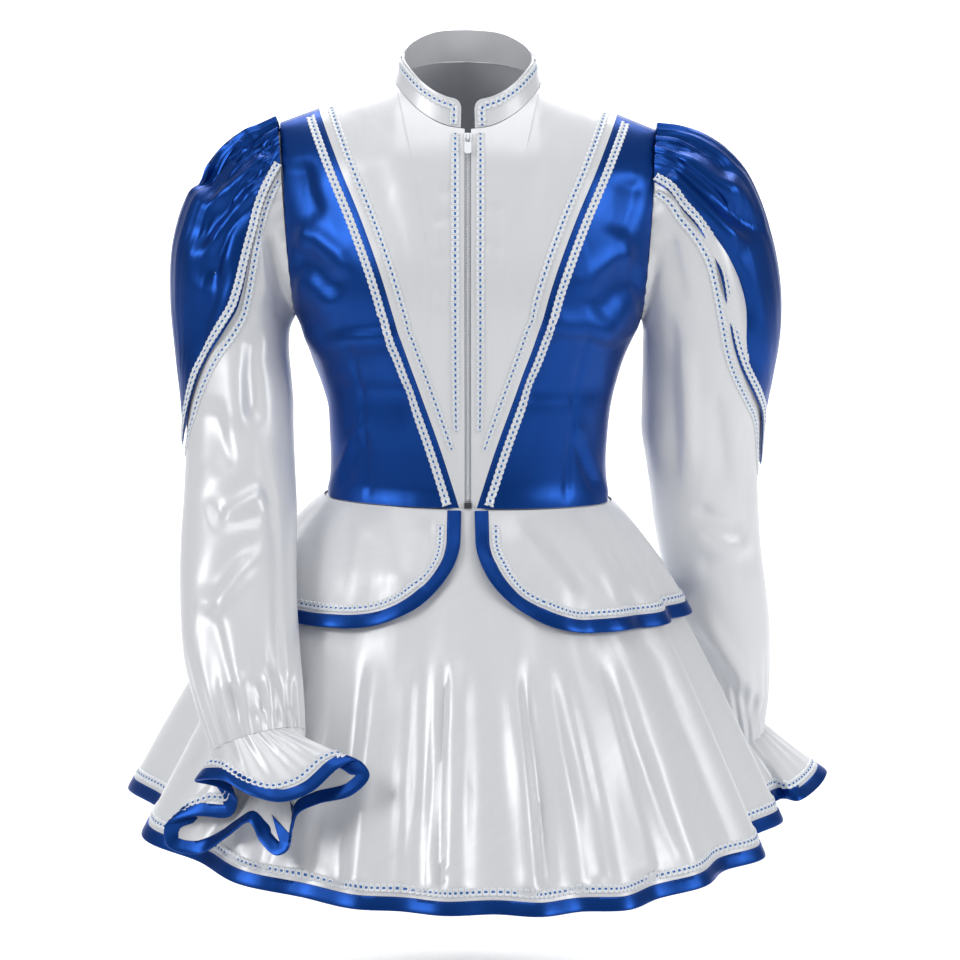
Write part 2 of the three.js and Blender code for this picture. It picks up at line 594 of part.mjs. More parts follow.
// Braid just inside the edge of a sleeve cap, down the back, round the tip and up the front.
function capBraid(blue, rings) {
  const near = CAP.braidIn;
  const far = CAP.braidIn + BRAID.wide;
  const strip = 0.05;
  const halfWidth = (ring) => blue(1, ring).distanceTo(blue(1 - strip, ring)) / strip;
  const wideRings = [CAP.braidFrom, ...rings.slice(1).filter((ring) => halfWidth(ring) > far + CAP.braidRoom)];
  const run = (side) => wideRings.map((ring) => [
    [side * (1 - near / halfWidth(ring)), ring],
    [side * (1 - far / halfWidth(ring)), ring],
  ]);
  const last = wideRings[wideRings.length - 1];
  const tip = rings[rings.length - 1];
  const low = (share) => lerp(last, tip, share);
  const turn = (side) => CAP_TIP.map(({ outer, inner, across, outerAcross }) => [
    [side * (outerAcross ?? 1 - near / halfWidth(low(outer))), low(outer)],
    [side * across, low(inner)],
  ]);
  return ribbon(blue, CAP_BRAID, [...run(-1), ...turn(-1), ...turn(1).reverse(), ...run(1).reverse()]);
}

// Braid on the white sleeve, just outside the edge of its cap: along both edges and in an arc under the tip.
function sleeveBraid(sleeve, table) {
  const tip = table[table.length - 1].ring;
  const mmPerDegree = (ring) => sleeve(0, ring).distanceTo(sleeve(rad(4), ring)) / 4;
  const mmPerRing = sleeve(0, tip - 0.5).distanceTo(sleeve(0, tip + 0.5));
  const near = SLEEVE_LINE.out;
  const far = near + BRAID.wide;
  const stop = tip - SLEEVE_LINE.stop;
  const whole = Math.floor(stop - 0.5);
  const rings = [...range(SLEEVE_LINE.from, whole, 2 * whole), ...range(whole, stop, 3).slice(1)];
  const turn = (ring, out) => rad(along(table, 'ring', 'edge', ring) + out / mmPerDegree(ring));
  const run = (side) => rings.map((ring) => [[side * turn(ring, near), ring], [side * turn(ring, far), ring]]);
  const underTip = (degrees) => {
    const place = (out) => {
      const sideways = (SLEEVE_LINE.tipHalf + out) / mmPerDegree(tip);
      return [rad(sideways * sin(rad(degrees))), tip + (out * cos(rad(degrees))) / mmPerRing];
    };
    return [place(near), place(far)];
  };
  return ribbon(sleeve, SLEEVE_BRAID, [...run(-1), ...SLEEVE_LINE.fan.map(underTip), ...run(1).reverse()]);
}

// Skirt and peplum

function hemAt(angle) {
  const degrees = THREE.MathUtils.radToDeg(angle);
  const at = ((degrees + 540) % 360) - 180;
  return { reach: along(HEM, 'at', 'reach', at), z: along(HEM, 'at', 'z', at) };
}

// The skirt at an angle from the front centre, down = 0 at the waist and 1 at the hem.
function skirtSurface(angle, down) {
  const hem = hemAt(angle);
  const turn = ((angle + 3 * PI) % (2 * PI)) - PI;
  const folded = abs(turn) > PI / 2 ? PI - abs(turn) : abs(turn);
  const back = abs(turn) > PI / 2;
  const waist = figure(back ? PI - folded : folded, WAIST);
  const flare = max(down, 0) ** (FLARE.side + FLARE.front * max(0, cos(turn)));
  const x = lerp((sign(turn) || 1) * waist.x, hem.reach * sin(turn), flare);
  const y = lerp(waist.y, -hem.reach * cos(turn), flare);
  return point(x, y, lerp(WAIST - WAIST_SEAM, hem.z, down));
}

const SKIRT_INSIDE = point(0, 0, -520);
facing(skirtSurface, 0, 0.5, SKIRT_INSIDE);

// A band round the skirt between two distances above the hem.
const hemBand = (angles, kind, from) => ribbon(skirtSurface, kind, angles.map((angle) => {
  const nearHem = 0.9;
  const drop = skirtSurface(angle, nearHem).distanceTo(skirtSurface(angle, 1)) / (1 - nearHem);
  return [[angle, 1 - from / drop], [angle, 1 - (from + kind.wide) / drop]];
}), true);

// Peplum: columns at these distances from the front edge, close together at the rounded corners, then evenly.
const PEPLUM_STEPS = [0, 5, 12, 12.5, 14, 21.7, 22.2, 30, 40, 52, 66, 82, 100];
const PEPLUM_ROUND = 34;
const peplumMiddle = skirtSurface(0, 0.33);
const peplumRadius = hypot(peplumMiddle.x, peplumMiddle.y);
const peplumAngle = (distance) => (PEPLUM.front + distance) / peplumRadius;

// Depth below the waist of a line that runs so far inside the peplum's edge, at a distance from the front edge.
function peplumDepth(distance, inside) {
  if (distance < inside - 1e-6) return PEPLUM.top;
  const high = PEPLUM.deep - PEPLUM.straight - inside;
  const share = clamp((PEPLUM.cornerWide - distance) / (PEPLUM.cornerWide - inside), 0, 1);
  return PEPLUM.straight + high * (1 - share ** PEPLUM.power) ** (1 / PEPLUM.power);
}

// The peplum over the skirt, by angle from the front centre and depth below the waist.
const underPeplum = facing(
  (angle, depth) => skirtSurface(angle, max(depth, 0) / (WAIST - hemAt(angle).z)), 0, 50, SKIRT_INSIDE);
const peplumSurface = raised(underPeplum, (angle, depth) => PEPLUM_LIFT.waist + CLOTH
  + PEPLUM_LIFT.hem * clamp(depth / PEPLUM_LIFT.over, 0, 1));

const peplumColumns = (() => {
  const front = PEPLUM_STEPS.map((distance) => ({ distance, angle: peplumAngle(distance) }));
  const turned = front[front.length - 1].angle;
  const middle = range(turned, 2 * PI - turned, PEPLUM_ROUND).slice(1, -1);
  return [
    ...front,
    ...middle.map((angle) => ({ distance: PEPLUM.cornerWide, angle })),
    ...front.map(({ distance, angle }) => ({ distance, angle: 2 * PI - angle })).reverse(),
  ];
})();

const peplumBand = (kind, from) => ribbon(peplumSurface, kind, peplumColumns
  .filter(({ distance }) => distance >= from - 1e-6)
  .map(({ distance, angle }) => [
    [angle, peplumDepth(distance, from)],
    [angle, peplumDepth(distance, from + kind.wide)],
  ]));

// Wrist frill: u goes round, v from the wrist seam to the edge.
function frillSurface(side, sleeve, lastRing, table) {
  const edge = new THREE.CatmullRomCurve3(table.map((row) => point(row.x, row.y, row.z + LEAN * row.x)), true);
  const lengths = edge.getLengths(10 * table.length);
  const whole = lengths[lengths.length - 1];
  return (u, v) => {
    const place = ((u % 1) + 1) % 1;
    const step = Math.floor(place * 10 * table.length);
    const share = lerp(lengths[step], lengths[step + 1], place * 10 * table.length - step) / whole;
    const wrist = sleeve((share + FRILL.start[side]) * 2 * PI, lastRing);
    const above = sleeve((share + FRILL.start[side]) * 2 * PI, lastRing - 0.2);
    const seam = wrist.clone().add(wrist.clone().sub(above).setLength(SLEEVE_SEAM));
    return seam.lerp(edge.getPoint(place), v);
  };
}

// The frill by rows that follow the edges of its braid and binding: seam, braid, binding, edge.
function frillRows(frill) {
  const surface = (u, row) => {
    const long = frill(u, 0).distanceTo(frill(u, 1));
    const braidTop = 1 - (FRILL.braidIn + BRAID.wide) / long;
    const bindingTop = 1 - (FRILL_BINDING.wide + FRILL.bindingRoom) / long;
    const shares = [0, braidTop, bindingTop, 1];
    const first = clamp(Math.floor(row), 0, 2);
    return frill(u, lerp(shares[first], shares[first + 1], row - first));
  };
  surface.turned = frill.turned;
  return surface;
}

// A band round a frill between two distances from its edge.
const frillBand = (frill, columns, kind, from) => ribbon(frill, kind, columns.map((u) => {
  const long = frill(u, 0).distanceTo(frill(u, 1));
  return [[u, 1 - from / long], [u, 1 - (from + kind.wide) / long]];
}), true);

// Zip

const frontLine = (z) => figure(0, z).setX(0);
function frontFrame(z) {
  const down = frontLine(z - 1).sub(frontLine(z + 1)).normalize();
  const out = point(0, down.z, -down.y).normalize();
  return { down, out: out.y > 0 ? out.negate() : out };
}

// Tape and chain in one: the same outline carried down the front.
function zipTape() {
  const outline = [
    [-TAPE.half, TAPE.back],
    [TAPE.half, TAPE.back],
    [TAPE.half, TAPE.front],
    [CHAIN.half, TAPE.front],
    [CHAIN.half, CHAIN.front],
    [-CHAIN.half, CHAIN.front],
    [-CHAIN.half, TAPE.front],
    [-TAPE.half, TAPE.front],
  ];
  const heights = range(ZIP.top, ZIP.bottom, 16);
  const points = heights.flatMap((z) => {
    const { out } = frontFrame(z);
    return outline.map(([x, n]) => frontLine(z).addScaledVector(out, n).setX(x));
  });
  const faces = [];
  const count = outline.length;
  for (let row = 0; row < heights.length - 1; row += 1) {
    for (let i = 0; i < count; i += 1) {
      const a = row * count + i;
      const b = row * count + ((i + 1) % count);
      faces.push(a, b, b + count, a, b + count, a + count);
    }
  }
  const cap = THREE.ShapeUtils.triangulateShape(outline.map(([x, n]) => new THREE.Vector2(x, n)), []);
  const last = (heights.length - 1) * count;
  for (const [a, b, c] of cap) {
    faces.push(b, a, c);
    faces.push(last + a, last + b, last + c);
  }
  return solid(points, faces, true);
}

// A manifold from a closed geometry, also where a mirror has turned its faces.
function toManifold(geometry) {
  const plain = geometry.clone();
  plain.deleteAttribute('normal');
  plain.deleteAttribute('uv');
  const merged = mergeVertices(plain, 1e-4);
  const position = merged.getAttribute('position');
  const points = [];
  for (let i = 0; i < position.count; i += 1) points.push(new THREE.Vector3().fromBufferAttribute(position, i));
  const outward = solid(points, Array.from(merged.getIndex().array), false);
  return new wasm.Manifold(new wasm.Mesh({
    numProp: 3,
    vertProperties: new Float32Array(outward.getAttribute('position').array),
    triVerts: new Uint32Array(outward.getIndex().array),
  }));
}

function fromManifold(manifold) {
  const mesh = manifold.getMesh();
  const geometry = new THREE.BufferGeometry();
  geometry.setAttribute('position', new THREE.BufferAttribute(new Float32Array(mesh.vertProperties), 3));
  geometry.setIndex(new THREE.BufferAttribute(new Uint32Array(mesh.triVerts), 1));
  return geometry;
}

// Slider in its own frame: x across, y out of the cloth, z up along the zip.
function zipSlider() {
  const plate = new THREE.Shape();
  plate.moveTo(-SLIDER.half, SLIDER.up);
  plate.lineTo(SLIDER.half, SLIDER.up);
  plate.lineTo(SLIDER.half, 0);
  plate.lineTo(SLIDER.half * SLIDER.taper, -SLIDER.down);
  plate.lineTo(-SLIDER.half * SLIDER.taper, -SLIDER.down);
  plate.lineTo(-SLIDER.half, 0);
  plate.closePath();
  const body = new THREE.ExtrudeGeometry(plate, { depth: SLIDER.thick, bevelEnabled: false });
  body.rotateX(PI / 2);
  body.scale(1, -1, 1);
  const high = BRIDGE.tunnel + BRIDGE.wall;
  const arch = new THREE.Shape();
  arch.moveTo(-BRIDGE.reach, -BRIDGE.sunk);
  arch.lineTo(BRIDGE.reach, -BRIDGE.sunk);
  arch.lineTo(BRIDGE.reach - BRIDGE.slope, high);
  arch.lineTo(-BRIDGE.reach + BRIDGE.slope, high);
  arch.closePath();
  const tunnel = new THREE.Path();
  const inner = BRIDGE.reach - BRIDGE.slope - BRIDGE.leg;
  tunnel.moveTo(-inner, 0);
  tunnel.lineTo(-inner, BRIDGE.tunnel);
  tunnel.lineTo(inner, BRIDGE.tunnel);
  tunnel.lineTo(inner, 0);
  tunnel.closePath();
  arch.holes.push(tunnel);
  const bridge = new THREE.ExtrudeGeometry(arch, { depth: 2 * BRIDGE.half, bevelEnabled: false });
  // The arch is drawn along z and out of the cloth, and extruded across.
  bridge.applyMatrix4(new THREE.Matrix4().makeBasis(point(0, 0, 1), point(0, 1, 0), point(-1, 0, 0)));
  bridge.translate(BRIDGE.half, SLIDER.thick, 0);
  return fromManifold(toManifold(body).add(toManifold(bridge)));
}

// Pull in the slider's frame: it turns on a bar under the slider's bridge and hangs down along the zip.
function zipPull() {
  const outline = new THREE.Shape();
  outline.moveTo(-PULL.half, PULL.bar);
  outline.lineTo(PULL.half, PULL.bar);
  outline.lineTo(PULL.half, -PULL.long + PULL.tip);
  outline.lineTo(PULL.half - PULL.tip, -PULL.long);
  outline.lineTo(-PULL.half + PULL.tip, -PULL.long);
  outline.lineTo(-PULL.half, -PULL.long + PULL.tip);
  outline.closePath();
  const loop = new THREE.Path();
  loop.moveTo(-PULL.loopHalf, -PULL.bar);
  loop.lineTo(-PULL.loopHalf, -PULL.bar - PULL.loop);
  loop.lineTo(PULL.loopHalf, -PULL.bar - PULL.loop);
  loop.lineTo(PULL.loopHalf, -PULL.bar);
  loop.closePath();
  outline.holes.push(loop);
  const geometry = new THREE.ExtrudeGeometry(outline, { depth: PULL.thick, bevelEnabled: false });
  geometry.rotateX(PI / 2);
  geometry.translate(0, PULL.thick / 2, 0);
  return fromManifold(toManifold(geometry));
}

// Places a piece drawn in the slider's frame on the zip: z up along it, y out of it.
function onZip(geometry, z, out) {
  const frame = frontFrame(z);
  const up = frame.down.clone().negate();
  const across = frame.out.clone().cross(up);
  geometry.applyMatrix4(new THREE.Matrix4().makeBasis(across, frame.out, up));
  const at = frontLine(z).addScaledVector(frame.out, out);
  geometry.translate(0, at.y, at.z);
  return geometry;
}

// Assembly

const dress = new THREE.Group();
function add(name, material, geometry) {
  const mesh = new THREE.Mesh(geometry, new THREE.MeshStandardMaterial(MATERIALS[material]));
  mesh.name = name;
  dress.add(mesh);
}

for (const [side, name] of [[LEFT, 'left'], [RIGHT, 'right']]) {
  const front = facing(yoke(side), 0.5, 0.5, BODICE_INSIDE);
  const blue = facing(sideFront(side), 0.5, 0.5, BODICE_INSIDE);
  add(`front_yoke_${name}`, 'white', wall(cloth(front), yokeColumns, BODICE_ROWS));
  add(`side_front_${name}`, 'blue', wall(cloth(blue), range(0, 1, 6), BODICE_ROWS));
  add(`seam_braid_blue_${name}`, 'braid', seamBraid(blue, BODICE_ROWS, 5.5));
  add(`seam_braid_white_${name}`, 'braid', seamBraid(front, BODICE_ROWS.filter((v) => v < 0.9), 7, true));
  add(`zip_braid_${name}`, 'braid', seamBraid(front, BODICE_ROWS.filter((v) => v < 0.8), 4.5));
}
const shoulderShare = (1 - BACK_NECK_SHARE) / 2;
const BACK_COLUMNS = [
  ...range(0, shoulderShare, 3),
  ...range(shoulderShare, 1 - shoulderShare, 2 * BACK_NECK_STEPS).slice(1),
  ...range(1 - shoulderShare, 1, 3).slice(1),
];
add('back', 'blue', wall(cloth(facing(backPanel(), 0.5, 0.5, BODICE_INSIDE)), BACK_COLUMNS, BODICE_ROWS));

const frontTurns = [COLLAR_FRONT.from, 7.5, 9.5, 12.2, ...NECK_TURNS.slice(1)];
const backTurns = range(90, 270, 2 * BACK_NECK_STEPS).slice(1, -1);
const collarColumns = [...frontTurns, ...backTurns, ...frontTurns.map((turn) => 360 - turn).reverse()];
add('collar', 'white', wall(cloth(collarSurface, COLLAR_CLOTH), collarColumns, [0, 0.5, 1]));
add('collar_braid', 'braid', collarBraid(collarColumns));

const ARMS = [
  { side: LEFT, name: 'left', table: SLEEVE_LEFT, cap: CAP_LEFT, frill: FRILL_LEFT },
  { side: RIGHT, name: 'right', table: SLEEVE_RIGHT, cap: CAP_RIGHT, frill: FRILL_RIGHT },
];
const SLEEVE_COLUMNS = range(0, 2 * PI, 18).slice(0, -1);
for (const { side, name, table, cap, frill } of ARMS) {
  const upperArm = point(side * 215, 0, -260);
  const sleeve = facing(sleeveSurface(side, table), 0, 5, upperArm);
  const rings = range(0, table.length, table.length);
  add(`sleeve_${name}`, 'white', wall(cloth(sleeve), SLEEVE_COLUMNS, rings, true));

  const blue = capSurface(sleeve, cap);
  const tip = cap[cap.length - 1].ring;
  const whole = Math.floor(tip - 0.5);
  const capRings = [CAP.start, ...range(1, whole, whole - 1), ...range(whole, tip, 2).slice(1)];
  add(`sleeve_cap_${name}`, 'blue', wall(cloth(blue), range(-1, 1, 2 * CAP_GATHER.waves), capRings));
  add(`sleeve_cap_braid_${name}`, 'braid', capBraid(blue, capRings));
  add(`sleeve_braid_${name}`, 'braid', sleeveBraid(sleeve, cap));

  const wrist = sleeve(0, table.length).add(sleeve(PI, table.length)).multiplyScalar(0.5);
  const frillWall = facing(frillSurface(side, sleeve, table.length, frill), 0, 0, wrist);
  const around = range(0, 1, FRILL.columnsEach * frill.length).slice(0, -1);
  add(`wrist_frill_${name}`, 'white', wall(cloth(frillRows(frillWall)), around, [0, 1, 2, 3], true));
  add(`wrist_binding_${name}`, 'blue', frillBand(frillWall, around, FRILL_BINDING, 0));
  add(`wrist_braid_${name}`, 'braid', frillBand(frillWall, around, FRILL_BRAID, FRILL.braidIn));
}

const SKIRT_COLUMNS = range(-PI, PI, 72).slice(0, -1);
const SKIRT_ROWS = [0, 0.12, 0.27, 0.45, 0.7, 1];
add('skirt', 'white', wall(cloth(skirtSurface), SKIRT_COLUMNS, SKIRT_ROWS, true));
add('skirt_binding', 'blue', hemBand(SKIRT_COLUMNS, BINDING, 0));
add('skirt_braid', 'braid', hemBand(SKIRT_COLUMNS, BRAID, SKIRT_BRAID_UP));

const PEPLUM_ROWS = [0, 0.3, 0.65, 1];
const peplumWall = (i, t) => {
  const { distance, angle } = peplumColumns[i];
  return cloth(peplumSurface)(angle, lerp(PEPLUM.top, peplumDepth(distance, 0), t));
};
add('peplum', 'white', wall(peplumWall, peplumColumns.map((_, i) => i), PEPLUM_ROWS));
add('peplum_binding', 'blue', peplumBand(BINDING, 0));
add('peplum_braid', 'braid', peplumBand(BRAID, PEPLUM.braidIn));

add('zip_tape', 'tape', zipTape());
const sliderOut = CHAIN.front + SLIDER.gap;
add('zip_slider', 'enamel', onZip(zipSlider(), SLIDER.z, sliderOut));
add('zip_pull', 'enamel', onZip(zipPull(), SLIDER.z, sliderOut + SLIDER.thick + BRIDGE.tunnel / 2));
const stop = new THREE.BoxGeometry(2 * STOP.half, STOP.thick, STOP.high).translate(0, STOP.thick / 2, 0);
add('zip_bottom_stop', 'steel', onZip(stop, STOP.z, STOP.from));

export default dress;
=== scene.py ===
# %% [markdown]
# # A majorette's dress
#
# A short parade dress of satin: a white yoke with a standing collar and a front zip, blue sides, long white
# sleeves under blue pointed caps, a white peplum that parts at the front, and a white flared skirt. The back
# repeats the front's colours. Woven braid runs along the seams and edges, and the free edges are bound in
# blue. Every shape here is a function of two numbers, worked out on a grid with numpy, so that the trim can
# be laid on exactly the same cloth. All sizes are in millimetres until a mesh is made.

# %% The solids that everything has to fit
import bmesh
import bpy
import numpy as np
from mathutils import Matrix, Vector


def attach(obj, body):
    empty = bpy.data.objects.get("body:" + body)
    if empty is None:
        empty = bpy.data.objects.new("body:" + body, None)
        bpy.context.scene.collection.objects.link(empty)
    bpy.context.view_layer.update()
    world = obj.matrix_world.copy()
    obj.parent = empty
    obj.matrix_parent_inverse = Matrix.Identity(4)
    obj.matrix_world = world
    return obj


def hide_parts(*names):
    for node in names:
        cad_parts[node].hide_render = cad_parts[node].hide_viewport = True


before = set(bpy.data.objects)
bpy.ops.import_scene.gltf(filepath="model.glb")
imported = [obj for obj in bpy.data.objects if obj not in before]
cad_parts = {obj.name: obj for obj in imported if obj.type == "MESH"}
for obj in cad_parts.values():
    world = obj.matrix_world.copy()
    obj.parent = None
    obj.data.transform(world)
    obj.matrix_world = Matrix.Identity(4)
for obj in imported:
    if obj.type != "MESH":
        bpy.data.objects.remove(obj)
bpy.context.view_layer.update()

# %% [markdown]
# ## Camera
#
# The picture of a dress on an invisible stand is taken from some way off, level with the shoulders and
# looking a little down, so that the shoulders and the hem keep their true widths.

# %% Camera at the dress's front
CAMERA = {"x": 0.011, "far": 3.0, "z": 0.03, "lens": 120.7, "pitch": 7.35}
camera = bpy.data.objects.new("camera", bpy.data.cameras.new("camera"))
camera.data.lens = CAMERA["lens"]
camera.data.sensor_width = 36
camera.location = (CAMERA["x"], -CAMERA["far"], CAMERA["z"])
camera.rotation_euler = (np.radians(90 - CAMERA["pitch"]), 0, 0)
bpy.context.collection.objects.link(camera)
bpy.context.scene.camera = camera
print("camera", CAMERA)

# %% [markdown]
# ## Tables read as smooth curves
#
# A pattern cutter measures a body at a few heights and draws a fair curve through the marks. The same is
# done here: each table holds a few rows of measurements, and one function reads any value between them.

# %% Reading a table
def along(table, at, column):
    """Value of one column where the first column equals `at`: a cubic between two rows, with their slopes."""
    table = np.asarray(table, float)
    x, y = table[:, 0], table[:, column]
    last = len(x) - 1
    b = np.clip(np.searchsorted(x, at, side="right"), 1, last)
    a = b - 1
    before, after = np.maximum(a - 1, 0), np.minimum(b + 1, last)
    span = x[b] - x[a]
    slope_a = (y[b] - y[before]) / (x[b] - x[before])
    slope_b = (y[after] - y[a]) / (x[after] - x[a])
    t = np.clip((at - x[a]) / span, 0, 1)
    return ((2 * t**3 - 3 * t**2 + 1) * y[a] + (t**3 - 2 * t**2 + t) * span * slope_a
            + (3 * t**2 - 2 * t**3) * y[b] + (t**3 - t**2) * span * slope_b)


def mix(a, b, share):
    """Straight line from a to b."""
    return a + (b - a) * share


def smooth(low, high, value):
    """0 below low, 1 above high, and an S-shaped step between."""
    t = np.clip((value - low) / (high - low), 0, 1)
    return t * t * (3 - 2 * t)


def points_of(x, y, z):
    """Three arrays as one array of points."""
    return np.stack(np.broadcast_arrays(x, y, z), axis=-1).astype(float)


print("bust half width between two marks:", along([(0, 10), (10, 14), (20, 12)], 5.0, 1))

# %% [markdown]
# ## Normals, folds and lifted layers
#
# Sewn layers lie on one another, so each layer is the one below it, moved out along its normals. Folds are
# drawn as lines on the front view, where they are easy to place, and move the cloth in or out near each
# line. The side that can't be seen from the front gets the same folds a little shifted, because cloth
# creases alike all round.

# %% Working on a surface
EYE = {"far": 3000, "x": 11, "z": 30}  # mm: where the front view's fold lines are seen from
HIDDEN = {"x": 7, "z": 16, "share": 0.8}  # the same folds on the hidden side, moved aside and a little lower
STEP = 1e-3
LENGTHWISE = 23  # mm along a fold for one radian of its unevenness


def normals(surface, u, v, step=STEP):
    """Unit normals: the cross product of two short steps on the surface, turned to its outer side."""
    across = surface(u + step, v) - surface(u - step, v)
    down = surface(u, v + step) - surface(u, v - step)
    out = np.cross(across, down)
    return out * surface.turned / np.maximum(np.linalg.norm(out, axis=-1, keepdims=True), 1e-12)


def facing(surface, u, v, inside):
    """Settles the outer side of a surface: at (u, v) it faces away from the point `inside`."""
    surface.turned = 1
    here = np.array([float(u)]), np.array([float(v)])
    surface.turned = float(np.sign(np.sum(normals(surface, *here) * (surface(*here) - np.array(inside)))))
    return surface


def raised(surface, lift):
    """The surface moved out along its normals by a distance, or by a function of u and v."""
    def result(u, v):
        """A point of the surface plus the distance along its normal."""
        distance = lift(u, v) if callable(lift) else lift
        return surface(u, v) + normals(surface, u, v) * np.asarray(distance, float)[..., None]
    result.turned = surface.turned
    return result


def crease_height(points, out, creases):
    """Height of all folds: each is high times exp(-(distance from its line / wide)^2), less at its ends."""
    total = np.zeros(points.shape[:-1])
    near = EYE["far"] / (EYE["far"] + points[..., 1])
    for back in (0, 1):
        x = EYE["x"] + (points[..., 0] - EYE["x"]) * near + HIDDEN["x"] * back
        z = EYE["z"] + (points[..., 2] - EYE["z"]) * near + HIDDEN["z"] * back
        facing_us = smooth(-0.25, 0.3, -out[..., 1])
        weight = (1 - facing_us) * HIDDEN["share"] if back else facing_us
        for crease in creases:
            line = np.array(crease["line"], float)
            lengths = np.concatenate([[0], np.cumsum(np.hypot(*np.diff(line, axis=0).T))])
            nearest = np.full(x.shape, 1e9)
            place = np.zeros(x.shape)
            side = np.zeros(x.shape)
            for (ax, az), (bx, bz), start in zip(line[:-1], line[1:], lengths):
                long = np.hypot(bx - ax, bz - az)
                t = np.clip(((x - ax) * (bx - ax) + (z - az) * (bz - az)) / long**2, 0, 1)
                dx, dz = x - ax - t * (bx - ax), z - az - t * (bz - az)
                far = np.hypot(dx, dz)
                closer = far < nearest
                nearest = np.where(closer, far, nearest)
                place = np.where(closer, start + t * long, place)
                side = np.where(closer, np.sign(dx * (bz - az) - dz * (bx - ax)), side)
            share = place / lengths[-1]
            ends = smooth(0, crease.get("start", 0.25), share) * smooth(0, crease.get("end", 0.25), 1 - share)
            uneven = 1 + 0.25 * np.sin(place / LENGTHWISE + crease["wide"])
            wide = crease["wide"] * (1 + crease.get("skew", 0.35) * side)
            total += weight * crease["high"] * ends * uneven * np.exp(-((nearest / wide) ** 2))
    return total


def folded(surface, creases):
    """The surface with its folds."""
    def result(u, v):
        """A point of the surface plus the height of the folds along its normal."""
        points = surface(u, v)
        out = normals(surface, u, v)
        return points + out * crease_height(points, out, creases)[..., None]
    result.turned = surface.turned
    return result


def baked(surface, us, vs, size, period=None):
    """The surface measured once on an even grid of size (columns, rows), then read between the points by
    cubic curves through four points each way, which is much quicker than working out all folds again."""
    columns, rows = size
    table = surface(*np.meshgrid(np.linspace(*us, columns), np.linspace(*vs, rows)))

    def weights(value, low, high, count):
        """First of the two inner points, and the four shares of a cubic through four even points."""
        place = (value - low) / (high - low) * (count - 1)
        first = np.clip(np.floor(place).astype(int), 1, count - 3)
        t = place - first
        return first, (-t / 2 + t**2 - t**3 / 2, 1 - 2.5 * t**2 + 1.5 * t**3,
                       t / 2 + 2 * t**2 - 1.5 * t**3, -(t**2) / 2 + t**3 / 2)

    def result(u, v):
        """Sixteen points of the table, each times its share across and its share down."""
        u, v = np.broadcast_arrays(np.asarray(u, float), np.asarray(v, float))
        if period:
            u = (u + period / 2) % period - period / 2
        i, across = weights(u, *us, columns)
        j, down = weights(v, *vs, rows)
        total = np.zeros((*u.shape, 3))
        for b in range(4):
            row = sum(table[j + b - 1, i + a - 1] * across[a][..., None] for a in range(4))
            total += row * down[b][..., None]
        return total
    result.turned = surface.turned
    return result


print("folds are ready to be placed")

# %% [markdown]
# ## From a grid to a mesh
#
# Cloth has two faces and an edge. A piece is made of an outer grid, an inner grid a cloth's thickness below
# it, and strips that close the edges. Blender gets whole arrays at once, which is far quicker than a loop
# over vertices. The UV map holds real metres along and across the cloth, so that a weave keeps its scale on
# every piece.

# %% Meshes from arrays
SATIN = 0.8
pieces = {}


def make_mesh(name, points, quads, uv, material, sharp=50):
    """A mesh object from points in mm, four corners a face and a UV for each corner, its faces turned out."""
    p = points[quads]
    volume = np.sum(np.einsum("ij,ij->i", p[:, 0], np.cross(p[:, 1], p[:, 2]))
                    + np.einsum("ij,ij->i", p[:, 0], np.cross(p[:, 2], p[:, 3])))
    if volume < 0:
        quads, uv = quads[:, ::-1], uv[:, ::-1]
    mesh = bpy.data.meshes.new(name)
    mesh.vertices.add(len(points))
    mesh.vertices.foreach_set("co", (points * 0.001).ravel())
    mesh.loops.add(quads.size)
    mesh.loops.foreach_set("vertex_index", quads.astype(np.int32).ravel())
    mesh.polygons.add(len(quads))
    mesh.polygons.foreach_set("loop_start", np.arange(0, quads.size, 4, dtype=np.int32))
    layer = mesh.uv_layers.new(name="cloth")
    mesh.update(calc_edges=True)
    layer.data.foreach_set("uv", (uv * 0.001).ravel())
    mesh.validate()
    mesh.shade_smooth()
    mesh.set_sharp_from_angle(angle=np.radians(sharp))
    mesh.materials.append(material)
    piece = bpy.data.objects.new(name, mesh)
    bpy.context.collection.objects.link(piece)
    pieces[name] = piece
    return piece


def cells(columns, rows, closed=False):
    """Column and row numbers of the four corners of every cell of a grid."""
    i, j = np.meshgrid(np.arange(columns if closed else columns - 1), np.arange(rows - 1))
    return i.reshape(-1, 1) + np.array([0, 1, 1, 0]), j.reshape(-1, 1) + np.array([0, 0, 1, 1])


def measure(outer, closed):
    """Lengths along the rows and down the columns of a grid of points: the cloth's own flat coordinates."""
    ring = np.concatenate([outer, outer[:, :1]], axis=1) if closed else outer
    across = np.linalg.norm(np.diff(ring, axis=1), axis=2)
    down = np.linalg.norm(np.diff(ring, axis=0), axis=2)
    u = np.concatenate([np.zeros((len(ring), 1)), np.cumsum(across, axis=1)], axis=1)
    v = np.concatenate([np.zeros((1, ring.shape[1])), np.cumsum(down, axis=0)], axis=0)
    area = float(np.sum((across[1:] + across[:-1]) / 2 * (down[:, 1:] + down[:, :-1]) / 2))
    return u, v, area


areas, flats = {}, {}


